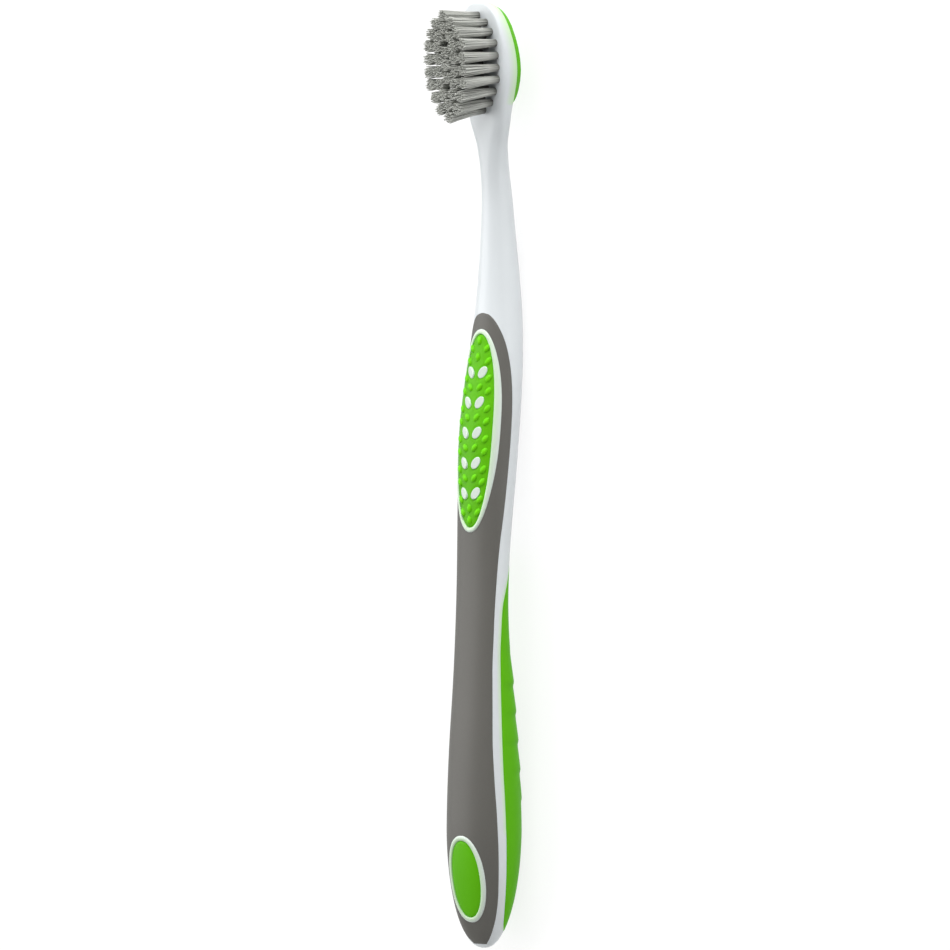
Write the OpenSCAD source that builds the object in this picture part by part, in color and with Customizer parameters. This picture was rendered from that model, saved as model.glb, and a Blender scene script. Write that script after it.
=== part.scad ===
// Manual toothbrush: a moulded handle with soft grips and a tufted head.
// It lies on its back. The head points along +X, the bristles stand along +Z, Y runs
// across the handle, and the origin is on the table under the middle of the brush.
// The palm and the end pad are measured from the butt end. The waist, the thumb rest,
// the neck and the head are measured back from the tip, so that they keep their shape
// on a longer handle.

/* [Handle] */
// Whole length of the brush
brush_len = 190; // [160:1:220]
// Station of the widest part of the palm swell
palm_at = 24; // [22:0.5:30]
// Width of the palm swell
palm_w = 15.6; // [14:0.1:17]
// Thickness of the palm swell
palm_t = 13.5; // [12.5:0.1:15]
// Distance from the tip to the waist between palm and thumb
waist_back = 118; // [112:0.5:124]
// Width of the waist
waist_w = 12.2; // [10:0.1:13]
// Thickness of the waist
waist_t = 7.1; // [6.6:0.1:9]
// Distance from the tip to the middle of the thumb rest and of its pad
thumb_back = 86.1; // [80:0.1:92]
// Width of the thumb rest on either side of the rim round its pad
thumb_side = 0.5; // [0.4:0.05:1.2]
// Thickness of the thumb rest
thumb_t = 10.5; // [9.8:0.1:12]
// Roundness of the handle's section, where 2 is an ellipse
handle_power = 2.3; // [2:0.1:2.8]
// Roundness of the butt seen from the front
butt_power = 2.8; // [2.4:0.1:3.2]
// Roundness of the butt seen from the side, where it tapers more
butt_side_power = 1.8; // [1.7:0.1:2.4]

/* [Bend of the handle] */
// Distance from the tip to the top of the arch between palm and thumb
crown_back = 121.5; // [114:0.5:130]
// Rise of the centre line there, over the palm
crown_rise = 1.4; // [0:0.1:2]
// Distance from the tip to the lowest part of the centre line, behind the thumb rest
saddle_back = 59.5; // [54:0.5:64]
// Drop of the centre line there, under the palm
saddle_drop = 2.4; // [1:0.05:2.45]
// Lift of the head's centre line over the palm
head_lift = 1.2; // [0.8:0.1:2]
// Drop of the centre line at the root of the head, under the head's
root_drop = 0.75; // [0.4:0.05:1]
// Further lift of the centre line at the very tip
tip_lift = 2.2; // [1.5:0.1:2.6]

/* [Neck and head] */
// Distance from the tip to the slimmest part of the neck
neck_back = 35; // [32:0.5:42]
// Width of the neck
neck_w = 5.5; // [4.5:0.1:7]
// Thickness of the neck
neck_t = 5.7; // [4.5:0.1:7]
// Distance from the tip to the root of the head
root_back = 23; // [22.4:0.1:26]
// Width at the root of the head
root_w = 9.9; // [9:0.1:11]
// Distance from the tip to the widest part of the head
head_back = 13; // [12:0.5:14]
// Width of the head
head_w = 13.1; // [12.6:0.1:16]
// Thickness of the head under its bristle face
head_t = 4.5; // [4.2:0.1:6]
// Length of the tip over which the head thins out
tip_run = 10; // [8:0.5:12]
// Tilt of the bristle face, rising toward the tip
face_tilt = 6; // [3:0.5:8]
// Roundness of the head's section
head_power = 5; // [4.5:0.1:6]

/* [Bristles] */
// Distance from the tip to the middle of the bristle field
field_back = 12.1; // [11.8:0.1:12.5]
// Length of the field between its end tufts
field_len = 19; // [18.4:0.1:19.6]
// Width of the field between its side tufts
field_w = 8.9; // [8.7:0.1:9.4]
// Height of the trimmed bristles over the face
bristle_h = 10.5; // [8:0.1:13]
// Diameter of a tuft hole
hole_d = 1.6; // [1.48:0.01:1.62]
// Depth of a tuft hole
hole_depth = 2.5; // [2.2:0.1:2.6]
// Width of a modelled strand
strand_w = 0.24; // [0.18:0.01:0.26]
// Strands in the outer ring of a tuft
outer_strands = 9; // [8:1:10]
// Strands in the inner ring of a tuft
inner_strands = 3; // [2:1:3]

/* [Anchors] */
// Length of an anchor plate
anchor_len = 1.96; // [1.8:0.01:2.05]
// Thickness of an anchor plate
anchor_t = 0.23; // [0.15:0.01:0.3]
// Height of an anchor plate
anchor_h = 1.3; // [1:0.1:1.6]

/* [Front grip] */
// Depth that the front grip is let into the handle
front_grip_t = 0.9; // [0.6:0.1:1.3]
// Station where the front grip starts
front_from = 0.8; // [0.6:0.1:2]
// How far the front grip runs past the rim of the thumb pad
front_lip = 3.2; // [2.2:0.1:6]
// Length of the front grip's arched end
front_arch = 20; // [16:0.5:24]

/* [Back grip] */
// Depth that the back grip is let into the handle
back_grip_t = 1.1; // [0.8:0.1:1.4]
// Station where the back grip starts
back_from = 3.4; // [2.6:0.1:5]
// Distance along the brush from the tip of the back grip to the rim of the thumb pad
back_gap = 3.4; // [0:0.1:8]
// Length of the back grip's pointed end
back_arch = 17; // [14:0.5:20]
// Pitch of the ribs, as many as fit before the pointed end
rib_pitch = 5.85; // [4.5:0.05:6.4]
// Station of the first rib's crest
rib_at = 24.2; // [22:0.1:26]
// Height of a rib's crest over the grip
rib_h = 0.3; // [0.2:0.05:0.5]
// Length of a rib's steep flank
rib_flank = 0.7; // [0.4:0.1:1]
// How much of the ribs' height the flat that the brush lies on takes off
land_cut = 0.14; // [0.08:0.01:0.18]

/* [Thumb pad] */
// Length of the thumb pad
thumb_pad_len = 38.9; // [33:0.1:44]
// Width of the thumb pad
thumb_pad_w = 9.3; // [8.8:0.1:11]
// Depth of the thumb pad
thumb_pad_t = 1.3; // [1:0.1:1.6]
// Width of the raised rim round the thumb pad
thumb_rim = 1.05; // [0.8:0.05:1.2]
// Height of that rim, and of the one round the end pad, over the grip
rim_h = 0.25; // [0.1:0.01:0.35]
// Rows of hard pips through the thumb pad
pip_rows = 5; // [3:1:5]
// Distance from either end of the pad to the nearest row
pip_margin = 7.3; // [6.4:0.1:8.4]
// How far the rows are set toward the butt end from there
pip_shift = 0.45; // [0:0.05:0.8]
// Distance between the two columns of pips
pip_gauge = 3.3; // [3:0.1:3.6]
// Length of a pip
pip_len = 2.85; // [2.2:0.05:3]
// Width of a pip
pip_w = 1.85; // [1.4:0.05:1.9]
// Turn of a pip: its end toward the head points outward
pip_turn = 38; // [0:1:42]
// Height of a pip over the pad
pip_h = 0.3; // [0.2:0.05:0.6]
// Outward lean of a pip
pip_lean = 15; // [0:1:20]
// Length of a soft nub on the pad
nub_len = 1.9; // [1.4:0.05:2]
// Width of a nub
nub_w = 1.2; // [0.9:0.05:1.3]
// Height of a nub over the pad
nub_h = 0.35; // [0.25:0.05:0.5]
// Distance between the two inner columns of nubs
nub_gauge = 2.5; // [2.2:0.1:2.8]

/* [End pad] */
// Station of the middle of the end pad
end_pad_at = 13.9; // [12.9:0.1:15]
// Length of the end pad
end_pad_len = 15.4; // [13:0.1:17]
// Width of the end pad
end_pad_w = 7.8; // [7:0.1:8.8]
// Depth of the end pad
end_pad_t = 1.3; // [1:0.1:1.6]
// Width of the raised rim round the end pad
end_rim = 1.05; // [0.8:0.05:1.2]
// Diameter of the stem that joins the end pad to the back grip
stem_d = 2.6; // [2:0.1:3.4]

/* [Tongue cleaner] */
// Distance from the tip to the end of the cleaner near the neck
cleaner_back = 19.6; // [18:0.1:20.5]
// Distance from the tip to its far end
cleaner_front = 0.7; // [0.5:0.1:2]
// Bare edge of the head beside the cleaner
cleaner_edge = 0.3; // [0.25:0.05:1.2]
// Depth that the cleaner is let into the head
cleaner_in = 0.25; // [0.15:0.05:0.3]
// Height of the cleaner over the back of the head
cleaner_out = 1; // [0.4:0.05:1.2]
// Ridges across the cleaner
ridge_count = 6; // [3:1:7]
// Pitch of the ridges
ridge_pitch = 2.2; // [1.8:0.1:2.3]
// Width of a ridge
ridge_w = 0.9; // [0.6:0.1:1.1]
// Height of a ridge over the cleaner
ridge_h = 0.35; // [0.2:0.05:0.5]

/* [Hidden] */
$fn = 32;

core_colour = "#f2f3f0";
green_colour = "#56b914";
grey_colour = "#73716c";
bristle_colour = "#a5a59b";
metal_colour = "#c8b27a";

// Cuts run past the skin by this much
overrun = 1.5;
// A soft piece stands this far clear of a hard one that it isn't moulded on
fit_gap = 0.05;
// A tuft's root stands this far clear of its hole
root_gap = 0.02;
// The crown of the head is skimmed by this much to make the flat bristle face
face_skim = 0.25;
// A strand starts this far down in its tuft's root
strand_seat = 0.4;
// The soft pads bulge by this much over the handle
pad_crown = 0.15;
// The rounded edge of a pip
pip_edge = 0.25;

// Stations worked out from the sizes above
waist_at = brush_len - waist_back;
crown_at = brush_len - crown_back;
thumb_at = brush_len - thumb_back;
saddle_at = brush_len - saddle_back;
neck_at = brush_len - neck_back;
root_at = brush_len - root_back;
head_at = brush_len - head_back;
field_at = brush_len - field_back;
front_to = thumb_at + thumb_pad_len / 2 + thumb_rim + front_lip;
back_to = thumb_at - thumb_pad_len / 2 - thumb_rim - back_gap;

// The thumb rest carries its pad and the rim
thumb_w = thumb_pad_w + 2 * (thumb_rim + thumb_side);
pip_pitch = (thumb_pad_len - 2 * pip_margin) / max(1, pip_rows - 1);
rib_count = max(1, floor((back_to - back_arch - rib_at) / rib_pitch));

// Height of the palm's centre line: the ribs' flats lie on the table
palm_z = palm_t / 2 + rib_h - land_cut;

// How far the centre line has got, half-way along each stretch of its bend
rise_share = 0.5;
fall_share = 0.33;
lift_share = 0.21;

// Smallest share of the full section, at the two blunt ends
end_share = 0.1;
// Seams, as shares of a quarter turn from the middle of the front or of the back,
// at shares of each grip's length
front_seam_shares = [
    [0, 0.6], [0.03, 0.69], [0.07, 0.722], [0.15, 0.718], [0.2, 0.69], [0.26, 0.64],
    [0.33, 0.607], [0.43, 0.609], [0.48, 0.645], [0.54, 0.695], [0.6, 0.76], [0.64, 0.825],
    [0.68, 0.905], [0.73, 0.965], [0.8, 1], [0.88, 0.975], [0.95, 0.945], [1, 0.86]
];
back_seam_shares = [
    [0, 0.99], [0.03, 1.016], [0.08, 1.08], [0.16, 1.102], [0.24, 1.116], [0.34, 1.145],
    [0.45, 1.17], [0.6, 1.172], [0.68, 1.16], [0.74, 1.14], [0.8, 1.09], [0.86, 1.075], [1, 0.95]
];
quarter_turn = 90;
arch_power = 2.2;
tip_power = 2.3;
thin_power = 3;
oval_power = 2.15;

// Tufts on the centre line, as shares of half the field's length
spine_tuft_shares = [1, 0.75, 0.25, 0, -0.25, -0.77, -1];
// Tufts on one side, as shares of half the field's length and width
side_tuft_shares = [
    [0.84, 0.46], [0.64, 0.73], [0.4, 0.97], [0.13, 1], [-0.12, 1], [-0.37, 0.97],
    [-0.62, 0.74], [-0.85, 0.47], [0.56, 0.31], [0.37, 0.47], [0.13, 0.47],
    [-0.13, 0.47], [-0.37, 0.47], [-0.57, 0.28]
];
// How far the field spreads from face to tips, and a tuft within it
field_flare_share = 0.1;
tuft_flare_share = 0.65;
// Radius of the inner ring of strands, as a share of the outer ring's
inner_ring_share = 0.38;
// Outer nubs beside each pip row, as shares of the pitch toward the butt, and how far out
// they stand as a share of half the pad's width
nub_shares = [0.21, 0.63];
nub_side_share = 0.76;
// Rings of a nub: their sizes as shares of its own, and their heights as shares of its height
nub_profile_shares = [[1, -0.8], [0.88, 0.45], [0.45, 1]];

// Rings and points of the lofts
butt_rings = 9;
handle_rings = 21;
neck_rings = 7;
tip_rings = 9;
skin_points = 26;
grip_points = 11;
pad_points = 7;
pad_rings = 13;
cleaner_points = 7;
cleaner_end_rings = 5;
outline_points = 36;
rim_points = 5;
pip_points = 12;
nub_points = 6;

// Named helpers
function share_of(a, b, u) = a + (b - a) * u;
function signed_pow(v, p) = sign(v) * pow(abs(v), p);
function arch(u, p) = pow(max(0, 1 - pow(max(0, u), p)), 1 / p);

// Smooth curve through a table of [station, value] rows, level at its highs and lows
function gap_slope(t, i) = (t[i + 1][1] - t[i][1]) / (t[i + 1][0] - t[i][0]);
function row_slope(t, i) =
    i == 0 || i == len(t) - 1 ? 0 :
    let (a = gap_slope(t, i - 1), b = gap_slope(t, i))
    a * b <= 0 ? 0 : 2 * a * b / (a + b);
function row_before(t, s, i = 0) =
    i >= len(t) - 2 || s < t[i + 1][0] ? i : row_before(t, s, i + 1);
function smooth(t, s) =
    let (
        i = row_before(t, s),
        h = t[i + 1][0] - t[i][0],
        u = min(1, max(0, (s - t[i][0]) / h)),
        v = 1 - u
    )
    (1 + 2 * u) * v * v * t[i][1] + (3 - 2 * u) * u * u * t[i + 1][1]
    + u * v * h * (v * row_slope(t, i) - u * row_slope(t, i + 1));

// Centre line of the handle: its height over the table at a station
spine_rows = [
    [palm_at, 0],
    [share_of(palm_at, crown_at, 1 / 2), crown_rise * rise_share],
    [crown_at, crown_rise],
    [share_of(crown_at, saddle_at, 1 / 2), share_of(crown_rise, -saddle_drop, fall_share)],
    [saddle_at, -saddle_drop],
    [share_of(saddle_at, root_at, 1 / 2), share_of(-saddle_drop, head_lift - root_drop, lift_share)],
    [root_at, head_lift - root_drop],
    [head_at, head_lift],
    [brush_len, head_lift + tip_lift]
];
function spine_z(s) = palm_z + smooth(spine_rows, s);

// Bristle face: its height at a station
face_z = spine_z(field_at) + head_t / 2;
function face_at(s) = face_z + (s - field_at) * tan(face_tilt);

// Half the width, half the depth and the roundness of the section at a station
width_rows = [
    [palm_at, palm_w / 2], [waist_at, waist_w / 2], [thumb_at, thumb_w / 2],
    [neck_at, neck_w / 2], [root_at, root_w / 2], [head_at, head_w / 2]
];
depth_rows = [
    [palm_at, palm_t / 2], [waist_at, waist_t / 2], [thumb_at, thumb_t / 2],
    [neck_at, neck_t / 2], [root_at, face_at(root_at) - spine_z(root_at)],
    [head_at, head_t / 2 + face_skim]
];
power_rows = [
    [thumb_at, handle_power], [neck_at, handle_power], [root_at, head_power],
    [head_at, head_power]
];
function butt_arch(s, power) = s < palm_at ? max(end_share, arch(1 - s / palm_at, power)) : 1;
function tip_arch(s) =
    s > head_at ? max(end_share, arch((s - head_at) / head_back, tip_power)) : 1;
function thin_arch(s) =
    let (u = (s - brush_len + tip_run) / tip_run)
    u > 0 ? max(end_share, arch(u, thin_power)) : 1;
function half_w(s) = smooth(width_rows, s) * butt_arch(s, butt_power) * tip_arch(s);
function half_d(s) = smooth(depth_rows, s) * butt_arch(s, butt_side_power) * thin_arch(s);
function power_at(s) = smooth(power_rows, s);

// A point of the skin: `grow` outside it, at an angle from the side toward the front
function skin_point(s, grow, a) =
    let (p = 2 / power_at(s))
    [
        s - brush_len / 2,
        (half_w(s) + grow) * signed_pow(cos(a), p),
        spine_z(s) + (half_d(s) + grow) * signed_pow(sin(a), p)
    ];
// Height of the skin over its centre line, at a distance y from the middle
function crown_z(s, y) =
    let (n = power_at(s))
    half_d(s) * pow(max(0, 1 - pow(min(1, abs(y) / half_w(s)), n)), 1 / n);
function front_z(s, y) = spine_z(s) + crown_z(s, y);
function back_z(s, y) = spine_z(s) - crown_z(s, y);

// Stations: even steps, and steps that tighten toward one end or both
function even(a, b, n) = [for (i = [0 : n]) share_of(a, b, i / n)];
function tight_start(a, b, n) =
    [for (i = [0 : n]) share_of(a, b, 1 - cos(quarter_turn * i / n))];
function tight_end(a, b, n) = [for (i = [0 : n]) share_of(a, b, sin(quarter_turn * i / n))];
function tight_both(a, b, n) =
    [for (i = [0 : n]) share_of(a, b, (1 - cos(2 * quarter_turn * i / n)) / 2)];
function without_last(t) = [for (i = [0 : len(t) - 2]) t[i]];

body_stations = concat(
    without_last(tight_start(0, palm_at, butt_rings)),
    without_last(even(palm_at, neck_at, handle_rings)),
    without_last(even(neck_at, head_at, neck_rings)),
    tight_end(head_at, brush_len, tip_rings)
);

// Solid between rings of equally many points. A ring's first half runs one way and
// its second half comes back beside it, so the two ends are closed by strips.
module skin(rings) {
    n = len(rings[0]);
    last = len(rings) - 1;
    sides = [
        for (r = [0 : last - 1]) for (i = [0 : n - 1])
            let (a = r * n + i, b = r * n + (i + 1) % n, c = a + n, d = b + n)
            each [[a, d, b], [a, c, d]]
    ];
    strips = [
        for (i = [0 : n / 2 - 2])
            let (a = i, b = i + 1, c = n - 2 - i, d = n - 1 - i, e = last * n)
            each [[a, b, c], [a, c, d], [e + a, e + c, e + b], [e + a, e + d, e + c]]
    ];
    polyhedron([for (ring = rings) each ring], concat(sides, strips), convexity = 10);
}

// Closed hoop through rings of equally many points
module hoop(rings) {
    n = len(rings[0]);
    count = len(rings);
    polyhedron(
        [for (ring = rings) each ring],
        [
            for (r = [0 : count - 1]) for (i = [0 : n - 1])
                let (j = (i + 1) % n, a = r * n, c = (r + 1) % count * n)
                each [[a + i, c + j, a + j], [a + i, c + i, c + j]]
        ],
        convexity = 10
    );
}

// Smooth body of the handle, neck and head
module body_skin() {
    skin([
        for (s = body_stations)
            [for (i = [0 : skin_points - 1])
                skin_point(s, 0, 4 * quarter_turn * (i + 1 / 2) / skin_points)]
    ]);
}

// Half the angle that each grip covers, at a station
function front_wrap(s) =
    quarter_turn * smooth(front_seam_shares, (s - front_from) / (front_to - front_from))
    * max(end_share, arch((s - front_to + front_arch) / front_arch, arch_power));
function back_wrap(s) =
    quarter_turn * smooth(back_seam_shares, (s - back_from) / (back_to - back_from))
    * max(end_share, arch((s - back_to + back_arch) / back_arch, arch_power));

front_stations = concat(
    without_last(tight_start(front_from, palm_at, 6)),
    without_last(even(palm_at, front_to - front_arch, 14)),
    tight_end(front_to - front_arch, front_to, 8)
);

// Each rib rises gently from the head side and drops by a steep flank
rib_end = rib_at + rib_pitch * rib_count;
function rib_rise(s) =
    s <= rib_at - rib_flank || s >= rib_end ? 0 :
    s < rib_at ? rib_h * (s - rib_at + rib_flank) / rib_flank :
    let (u = (s - rib_at) / rib_pitch, v = u - floor(u), f = rib_flank / rib_pitch)
    v < 1 - f || s > rib_end - rib_pitch ? rib_h * (1 - v / (1 - f)) : rib_h * (v - 1 + f) / f;
rib_stations = [
    for (k = [0 : rib_count - 1])
        each [rib_at + rib_pitch * k - rib_flank, rib_at + rib_pitch * k,
              rib_at + rib_pitch * k + (rib_pitch - rib_flank) / 2]
];
back_stations = concat(
    without_last(tight_start(back_from, rib_at - rib_flank, 5)),
    rib_stations,
    without_last(even(rib_end, back_to - back_arch, 2)),
    tight_end(back_to - back_arch, back_to, 7)
);

// Ring of a grip: its outer arc and its inner arc, about the front or the back
function grip_ring(s, mid, wrap, out, deep) = concat(
    [for (i = [0 : grip_points - 1])
        let (u = 2 * i / (grip_points - 1) - 1)
        skin_point(s, out * (1 - u * u * u * u), mid + wrap * u)],
    [for (i = [0 : grip_points - 1])
        let (u = 1 - 2 * i / (grip_points - 1))
        skin_point(s, -deep, mid + wrap * u)]
);
// The same ring with its outer arc well outside the handle, for the recess
function recess_ring(s, mid, wrap, deep) = concat(
    [for (i = [0 : grip_points - 1])
        let (u = 2 * i / (grip_points - 1) - 1)
        skin_point(s, overrun, mid + wrap * u)],
    [for (i = [0 : grip_points - 1])
        let (u = 1 - 2 * i / (grip_points - 1))
        skin_point(s, -deep, mid + wrap * u)]
);

module front_shell() {
    skin([for (s = front_stations) grip_ring(s, quarter_turn, front_wrap(s), 0, front_grip_t)]);
}
module front_recess() {
    skin([for (s = front_stations) recess_ring(s, quarter_turn, front_wrap(s), front_grip_t)]);
}
module back_shell() {
    skin([for (s = back_stations)
        grip_ring(s, -quarter_turn, back_wrap(s), rib_rise(s), back_grip_t)]);
}
module back_recess() {
    skin([for (s = back_stations) recess_ring(s, -quarter_turn, back_wrap(s), back_grip_t)]);
}

// Oval of a pad or of its rim: half its width at a station
function oval_w(s, at, length, width) =
    width / 2 * max(end_share, arch(abs(s - at) / (length / 2), oval_power));
module oval_prism(at, length, width) {
    translate([at - brush_len / 2, 0, palm_z])
        linear_extrude(height = palm_t)
            polygon([
                for (i = [0 : outline_points - 1])
                    let (a = 4 * quarter_turn * i / outline_points, p = 2 / oval_power)
                    [length / 2 * signed_pow(cos(a), p), width / 2 * signed_pow(sin(a), p)]
            ]);
}

// Half-round rim round a pad: a hoop of small sections that follow the oval and the skin
function rim_point(at, length, width, out, a, rise) =
    let (
        p = 2 / oval_power,
        x = (length / 2 + out) * signed_pow(cos(a), p),
        y = (width / 2 + out) * signed_pow(sin(a), p)
    )
    [at + x - brush_len / 2, y, front_z(at + x, y) + rise];
module rim(at, length, width, edge) {
    hoop([
        for (i = [0 : outline_points - 1])
            let (a = 4 * quarter_turn * i / outline_points, half = edge / 2 - fit_gap)
            concat(
                [for (k = [0 : rim_points - 1])
                    let (u = 2 * k / (rim_points - 1) - 1)
                    rim_point(at, length, width, edge / 2 + half * u, a, rim_h * sqrt(1 - u * u))],
                [for (u = [1, -1])
                    rim_point(at, length, width, edge / 2 + half * u, a, -front_grip_t)]
            )
    ]);
}

// Ring of a pad on the front: its top and its floor follow the skin
function pad_ring(s, half, top, deep, crown = 0) = concat(
    [for (i = [0 : pad_points - 1])
        let (u = 2 * i / (pad_points - 1) - 1, y = -half * u)
        [s - brush_len / 2, y, front_z(s, y) + top + crown * (1 - u * u)]],
    [for (i = [0 : pad_points - 1])
        let (u = 1 - 2 * i / (pad_points - 1), y = -half * u)
        [s - brush_len / 2, y, front_z(s, y) - deep]]
);
module front_pad(at, length, width, top, deep, crown) {
    skin([
        for (s = tight_both(at - length / 2, at + length / 2, pad_rings))
            pad_ring(s, oval_w(s, at, length, width), top, deep, crown)
    ]);
}

// Oval posts that lean outward from the pad's floor, in two columns
pip_stations = [
    for (i = [0 : pip_rows - 1]) thumb_at - pip_shift + (i - (pip_rows - 1) / 2) * pip_pitch
];
module at_pips(sink) {
    for (s = pip_stations)
        for (side = [-1, 1])
            translate([
                s - brush_len / 2,
                side * pip_gauge / 2,
                front_z(s, pip_gauge / 2) + pad_crown
            ])
                rotate([-side * pip_lean, 0, 0])
                    rotate([0, 0, side * pip_turn])
                        translate([0, 0, -sink])
                            children();
}
function small_ring(length, width, z, points) = [
    for (i = [0 : points - 1])
        let (a = 4 * quarter_turn * (i + 1 / 2) / points)
        [length / 2 * cos(a), width / 2 * sin(a), z]
];
module pip(top) {
    skin(concat(
        [small_ring(pip_len, pip_w, 0, pip_points)],
        [for (a = [0 : quarter_turn / 2 : quarter_turn])
            let (inset = 2 * pip_edge * (1 - cos(a)))
            small_ring(pip_len - inset, pip_w - inset, top - pip_edge * (1 - sin(a)), pip_points)]
    ));
}
module pip_bore(top) {
    skin([for (z = [0, top]) small_ring(pip_len, pip_w, z, pip_points)]);
}

// Places of the soft nubs, each with its side: between the pips, along the pad's edges
// where it is wide enough, and on the middle beyond the pips
function pad_half_w(s) = oval_w(s, thumb_at, thumb_pad_len, thumb_pad_w);
last_pip = pip_stations[pip_rows - 1];
nub_places = concat(
    [for (i = [0 : pip_rows - 2]) for (side = [-1, 1])
        [pip_stations[i] + pip_pitch / 2, side * nub_gauge / 2, side]],
    [for (i = [0 : pip_rows]) for (share = nub_shares) for (side = [-1, 1])
        let (s = pip_stations[0] + (i - share) * pip_pitch)
        if (pad_half_w(s) > nub_len + nub_h)
            [s, side * nub_side_share * pad_half_w(s), side]],
    [for (s = [
        pip_stations[0] - pip_pitch / 2, last_pip + pip_pitch / 2,
        thumb_at - thumb_pad_len / 2 + nub_len * 3 / 4, thumb_at + thumb_pad_len / 2 - nub_len * 3 / 4
    ]) [s, 0, 0]]
);
function thumb_pad_z(s, y) = front_z(s, y) + pad_crown * (1 - pow(y / pad_half_w(s), 2));
function lean_at(s, y) =
    atan((thumb_pad_z(s, y - nub_w / 4) - thumb_pad_z(s, y + nub_w / 4)) / (nub_w / 2));
module nubs() {
    for (p = nub_places)
        translate([p[0] - brush_len / 2, p[1], thumb_pad_z(p[0], p[1])])
            rotate([-lean_at(p[0], p[1]), 0, 0])
                rotate([0, 0, p[2] * pip_turn])
                    skin([
                        for (row = nub_profile_shares)
                            small_ring(nub_len * row[0], nub_w * row[0], nub_h * row[1], nub_points)
                    ]);
}

// Frame of the bristle face: origin at the middle of the field, +Z out of the face
module at_face() {
    translate([field_at - brush_len / 2, 0, face_z])
        rotate([0, -face_tilt, 0])
            children();
}
tuft_places = concat(
    [for (share = spine_tuft_shares) [share * field_len / 2, 0]],
    [for (row = side_tuft_shares) for (side = [-1, 1])
        [row[0] * field_len / 2, side * row[1] * field_w / 2]]
);
tuft_names = [for (i = [1 : len(tuft_places)]) str("tuft_", i < 10 ? "0" : "", i)];
module anchor_slot(grow) {
    translate([-anchor_len / 2 - grow, -anchor_t / 2 - grow, -hole_depth])
        cube([anchor_len + 2 * grow, anchor_t + 2 * grow, anchor_h + grow]);
}
module tuft_bores() {
    at_face()
        for (p = tuft_places)
            translate([p[0], p[1], 0]) {
                translate([0, 0, -hole_depth])
                    cylinder(d = hole_d, h = hole_depth + overrun);
                anchor_slot(0);
            }
}
// Everything over the bristle face, from the root of the head to the tip
module face_skimmer() {
    at_face()
        translate([root_at - field_at, -head_w, 0])
            cube([root_back + overrun, 2 * head_w, head_t]);
}

// Cleaner on the back of the head, with ridges across it that fade toward its sides
cleaner_from = brush_len - cleaner_back;
cleaner_to = brush_len - cleaner_front;
cleaner_mid = (cleaner_from + cleaner_to) / 2;
ridge_centres = [for (k = [0 : ridge_count - 1]) cleaner_mid + (k - (ridge_count - 1) / 2) * ridge_pitch];
cleaner_stations = concat(
    without_last(tight_start(cleaner_from, ridge_centres[0] - ridge_w / 2, cleaner_end_rings)),
    [for (s = ridge_centres) each [s - ridge_w / 2, s - ridge_w / 4, s + ridge_w / 4, s + ridge_w / 2]],
    tight_end(ridge_centres[ridge_count - 1] + ridge_w, cleaner_to, cleaner_end_rings)
);
function ridge_rise(s) =
    max([for (c = ridge_centres) ridge_h * min(1, max(0, 2 - 4 * abs(s - c) / ridge_w))]);
function cleaner_w(s) =
    (half_w(s) - cleaner_edge)
    * max(end_share, arch((cleaner_mid - s) / (cleaner_mid - cleaner_from), oval_power))
    * max(end_share, arch((s - cleaner_mid) / (cleaner_to - cleaner_mid), thin_power));
function cleaner_ring(s, out, ridge, deep) = concat(
    [for (i = [0 : cleaner_points - 1])
        let (u = 2 * i / (cleaner_points - 1) - 1, y = cleaner_w(s) * u)
        [s - brush_len / 2, y, back_z(s, y) - out - ridge * (1 - u * u)]],
    [for (i = [0 : cleaner_points - 1])
        let (u = 1 - 2 * i / (cleaner_points - 1), y = cleaner_w(s) * u)
        [s - brush_len / 2, y, back_z(s, y) + deep]]
);
module cleaner_recess() {
    skin([for (s = cleaner_stations) cleaner_ring(s, overrun, 0, cleaner_in)]);
}
module cleaner_body() {
    skin([for (s = cleaner_stations) cleaner_ring(s, cleaner_out, ridge_rise(s), cleaner_in)]);
}

// Hard body: palm, thumb rest, neck and head in one moulding
module handle_core() {
    color(core_colour)
        difference() {
            union() {
                difference() {
                    body_skin();
                    difference() {
                        front_recess();
                        oval_prism(thumb_at, thumb_pad_len + 2 * thumb_rim, thumb_pad_w + 2 * thumb_rim);
                        oval_prism(end_pad_at, end_pad_len + 2 * end_rim, end_pad_w + 2 * end_rim);
                    }
                    back_recess();
                    front_pad(thumb_at, thumb_pad_len, thumb_pad_w, overrun, thumb_pad_t, 0);
                    front_pad(end_pad_at, end_pad_len, end_pad_w, overrun, end_pad_t, 0);
                    cleaner_recess();
                }
                at_pips(2 * thumb_pad_t)
                    pip(2 * thumb_pad_t + pip_h);
                rim(thumb_at, thumb_pad_len, thumb_pad_w, thumb_rim);
                rim(end_pad_at, end_pad_len, end_pad_w, end_rim);
            }
            face_skimmer();
            tuft_bores();
            stem_bore();
        }
}

// Bore of the stem that joins the end pad to the back grip
module stem_bore() {
    translate([end_pad_at - brush_len / 2, 0, back_z(end_pad_at, 0)])
        cylinder(d = stem_d, h = 2 * half_d(end_pad_at));
}

// Soft grey skin on the front, with two windows for the rims
module front_grip() {
    color(grey_colour)
        difference() {
            front_shell();
            oval_prism(thumb_at, thumb_pad_len + 2 * thumb_rim, thumb_pad_w + 2 * thumb_rim);
            oval_prism(end_pad_at, end_pad_len + 2 * end_rim, end_pad_w + 2 * end_rim);
        }
}

// Soft green pad under the thumb
module thumb_pad() {
    color(green_colour)
        difference() {
            union() {
                front_pad(thumb_at, thumb_pad_len, thumb_pad_w, 0, thumb_pad_t, pad_crown);
                nubs();
            }
            at_pips(2 * thumb_pad_t)
                pip_bore(2 * thumb_pad_t + overrun);
        }
}

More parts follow.
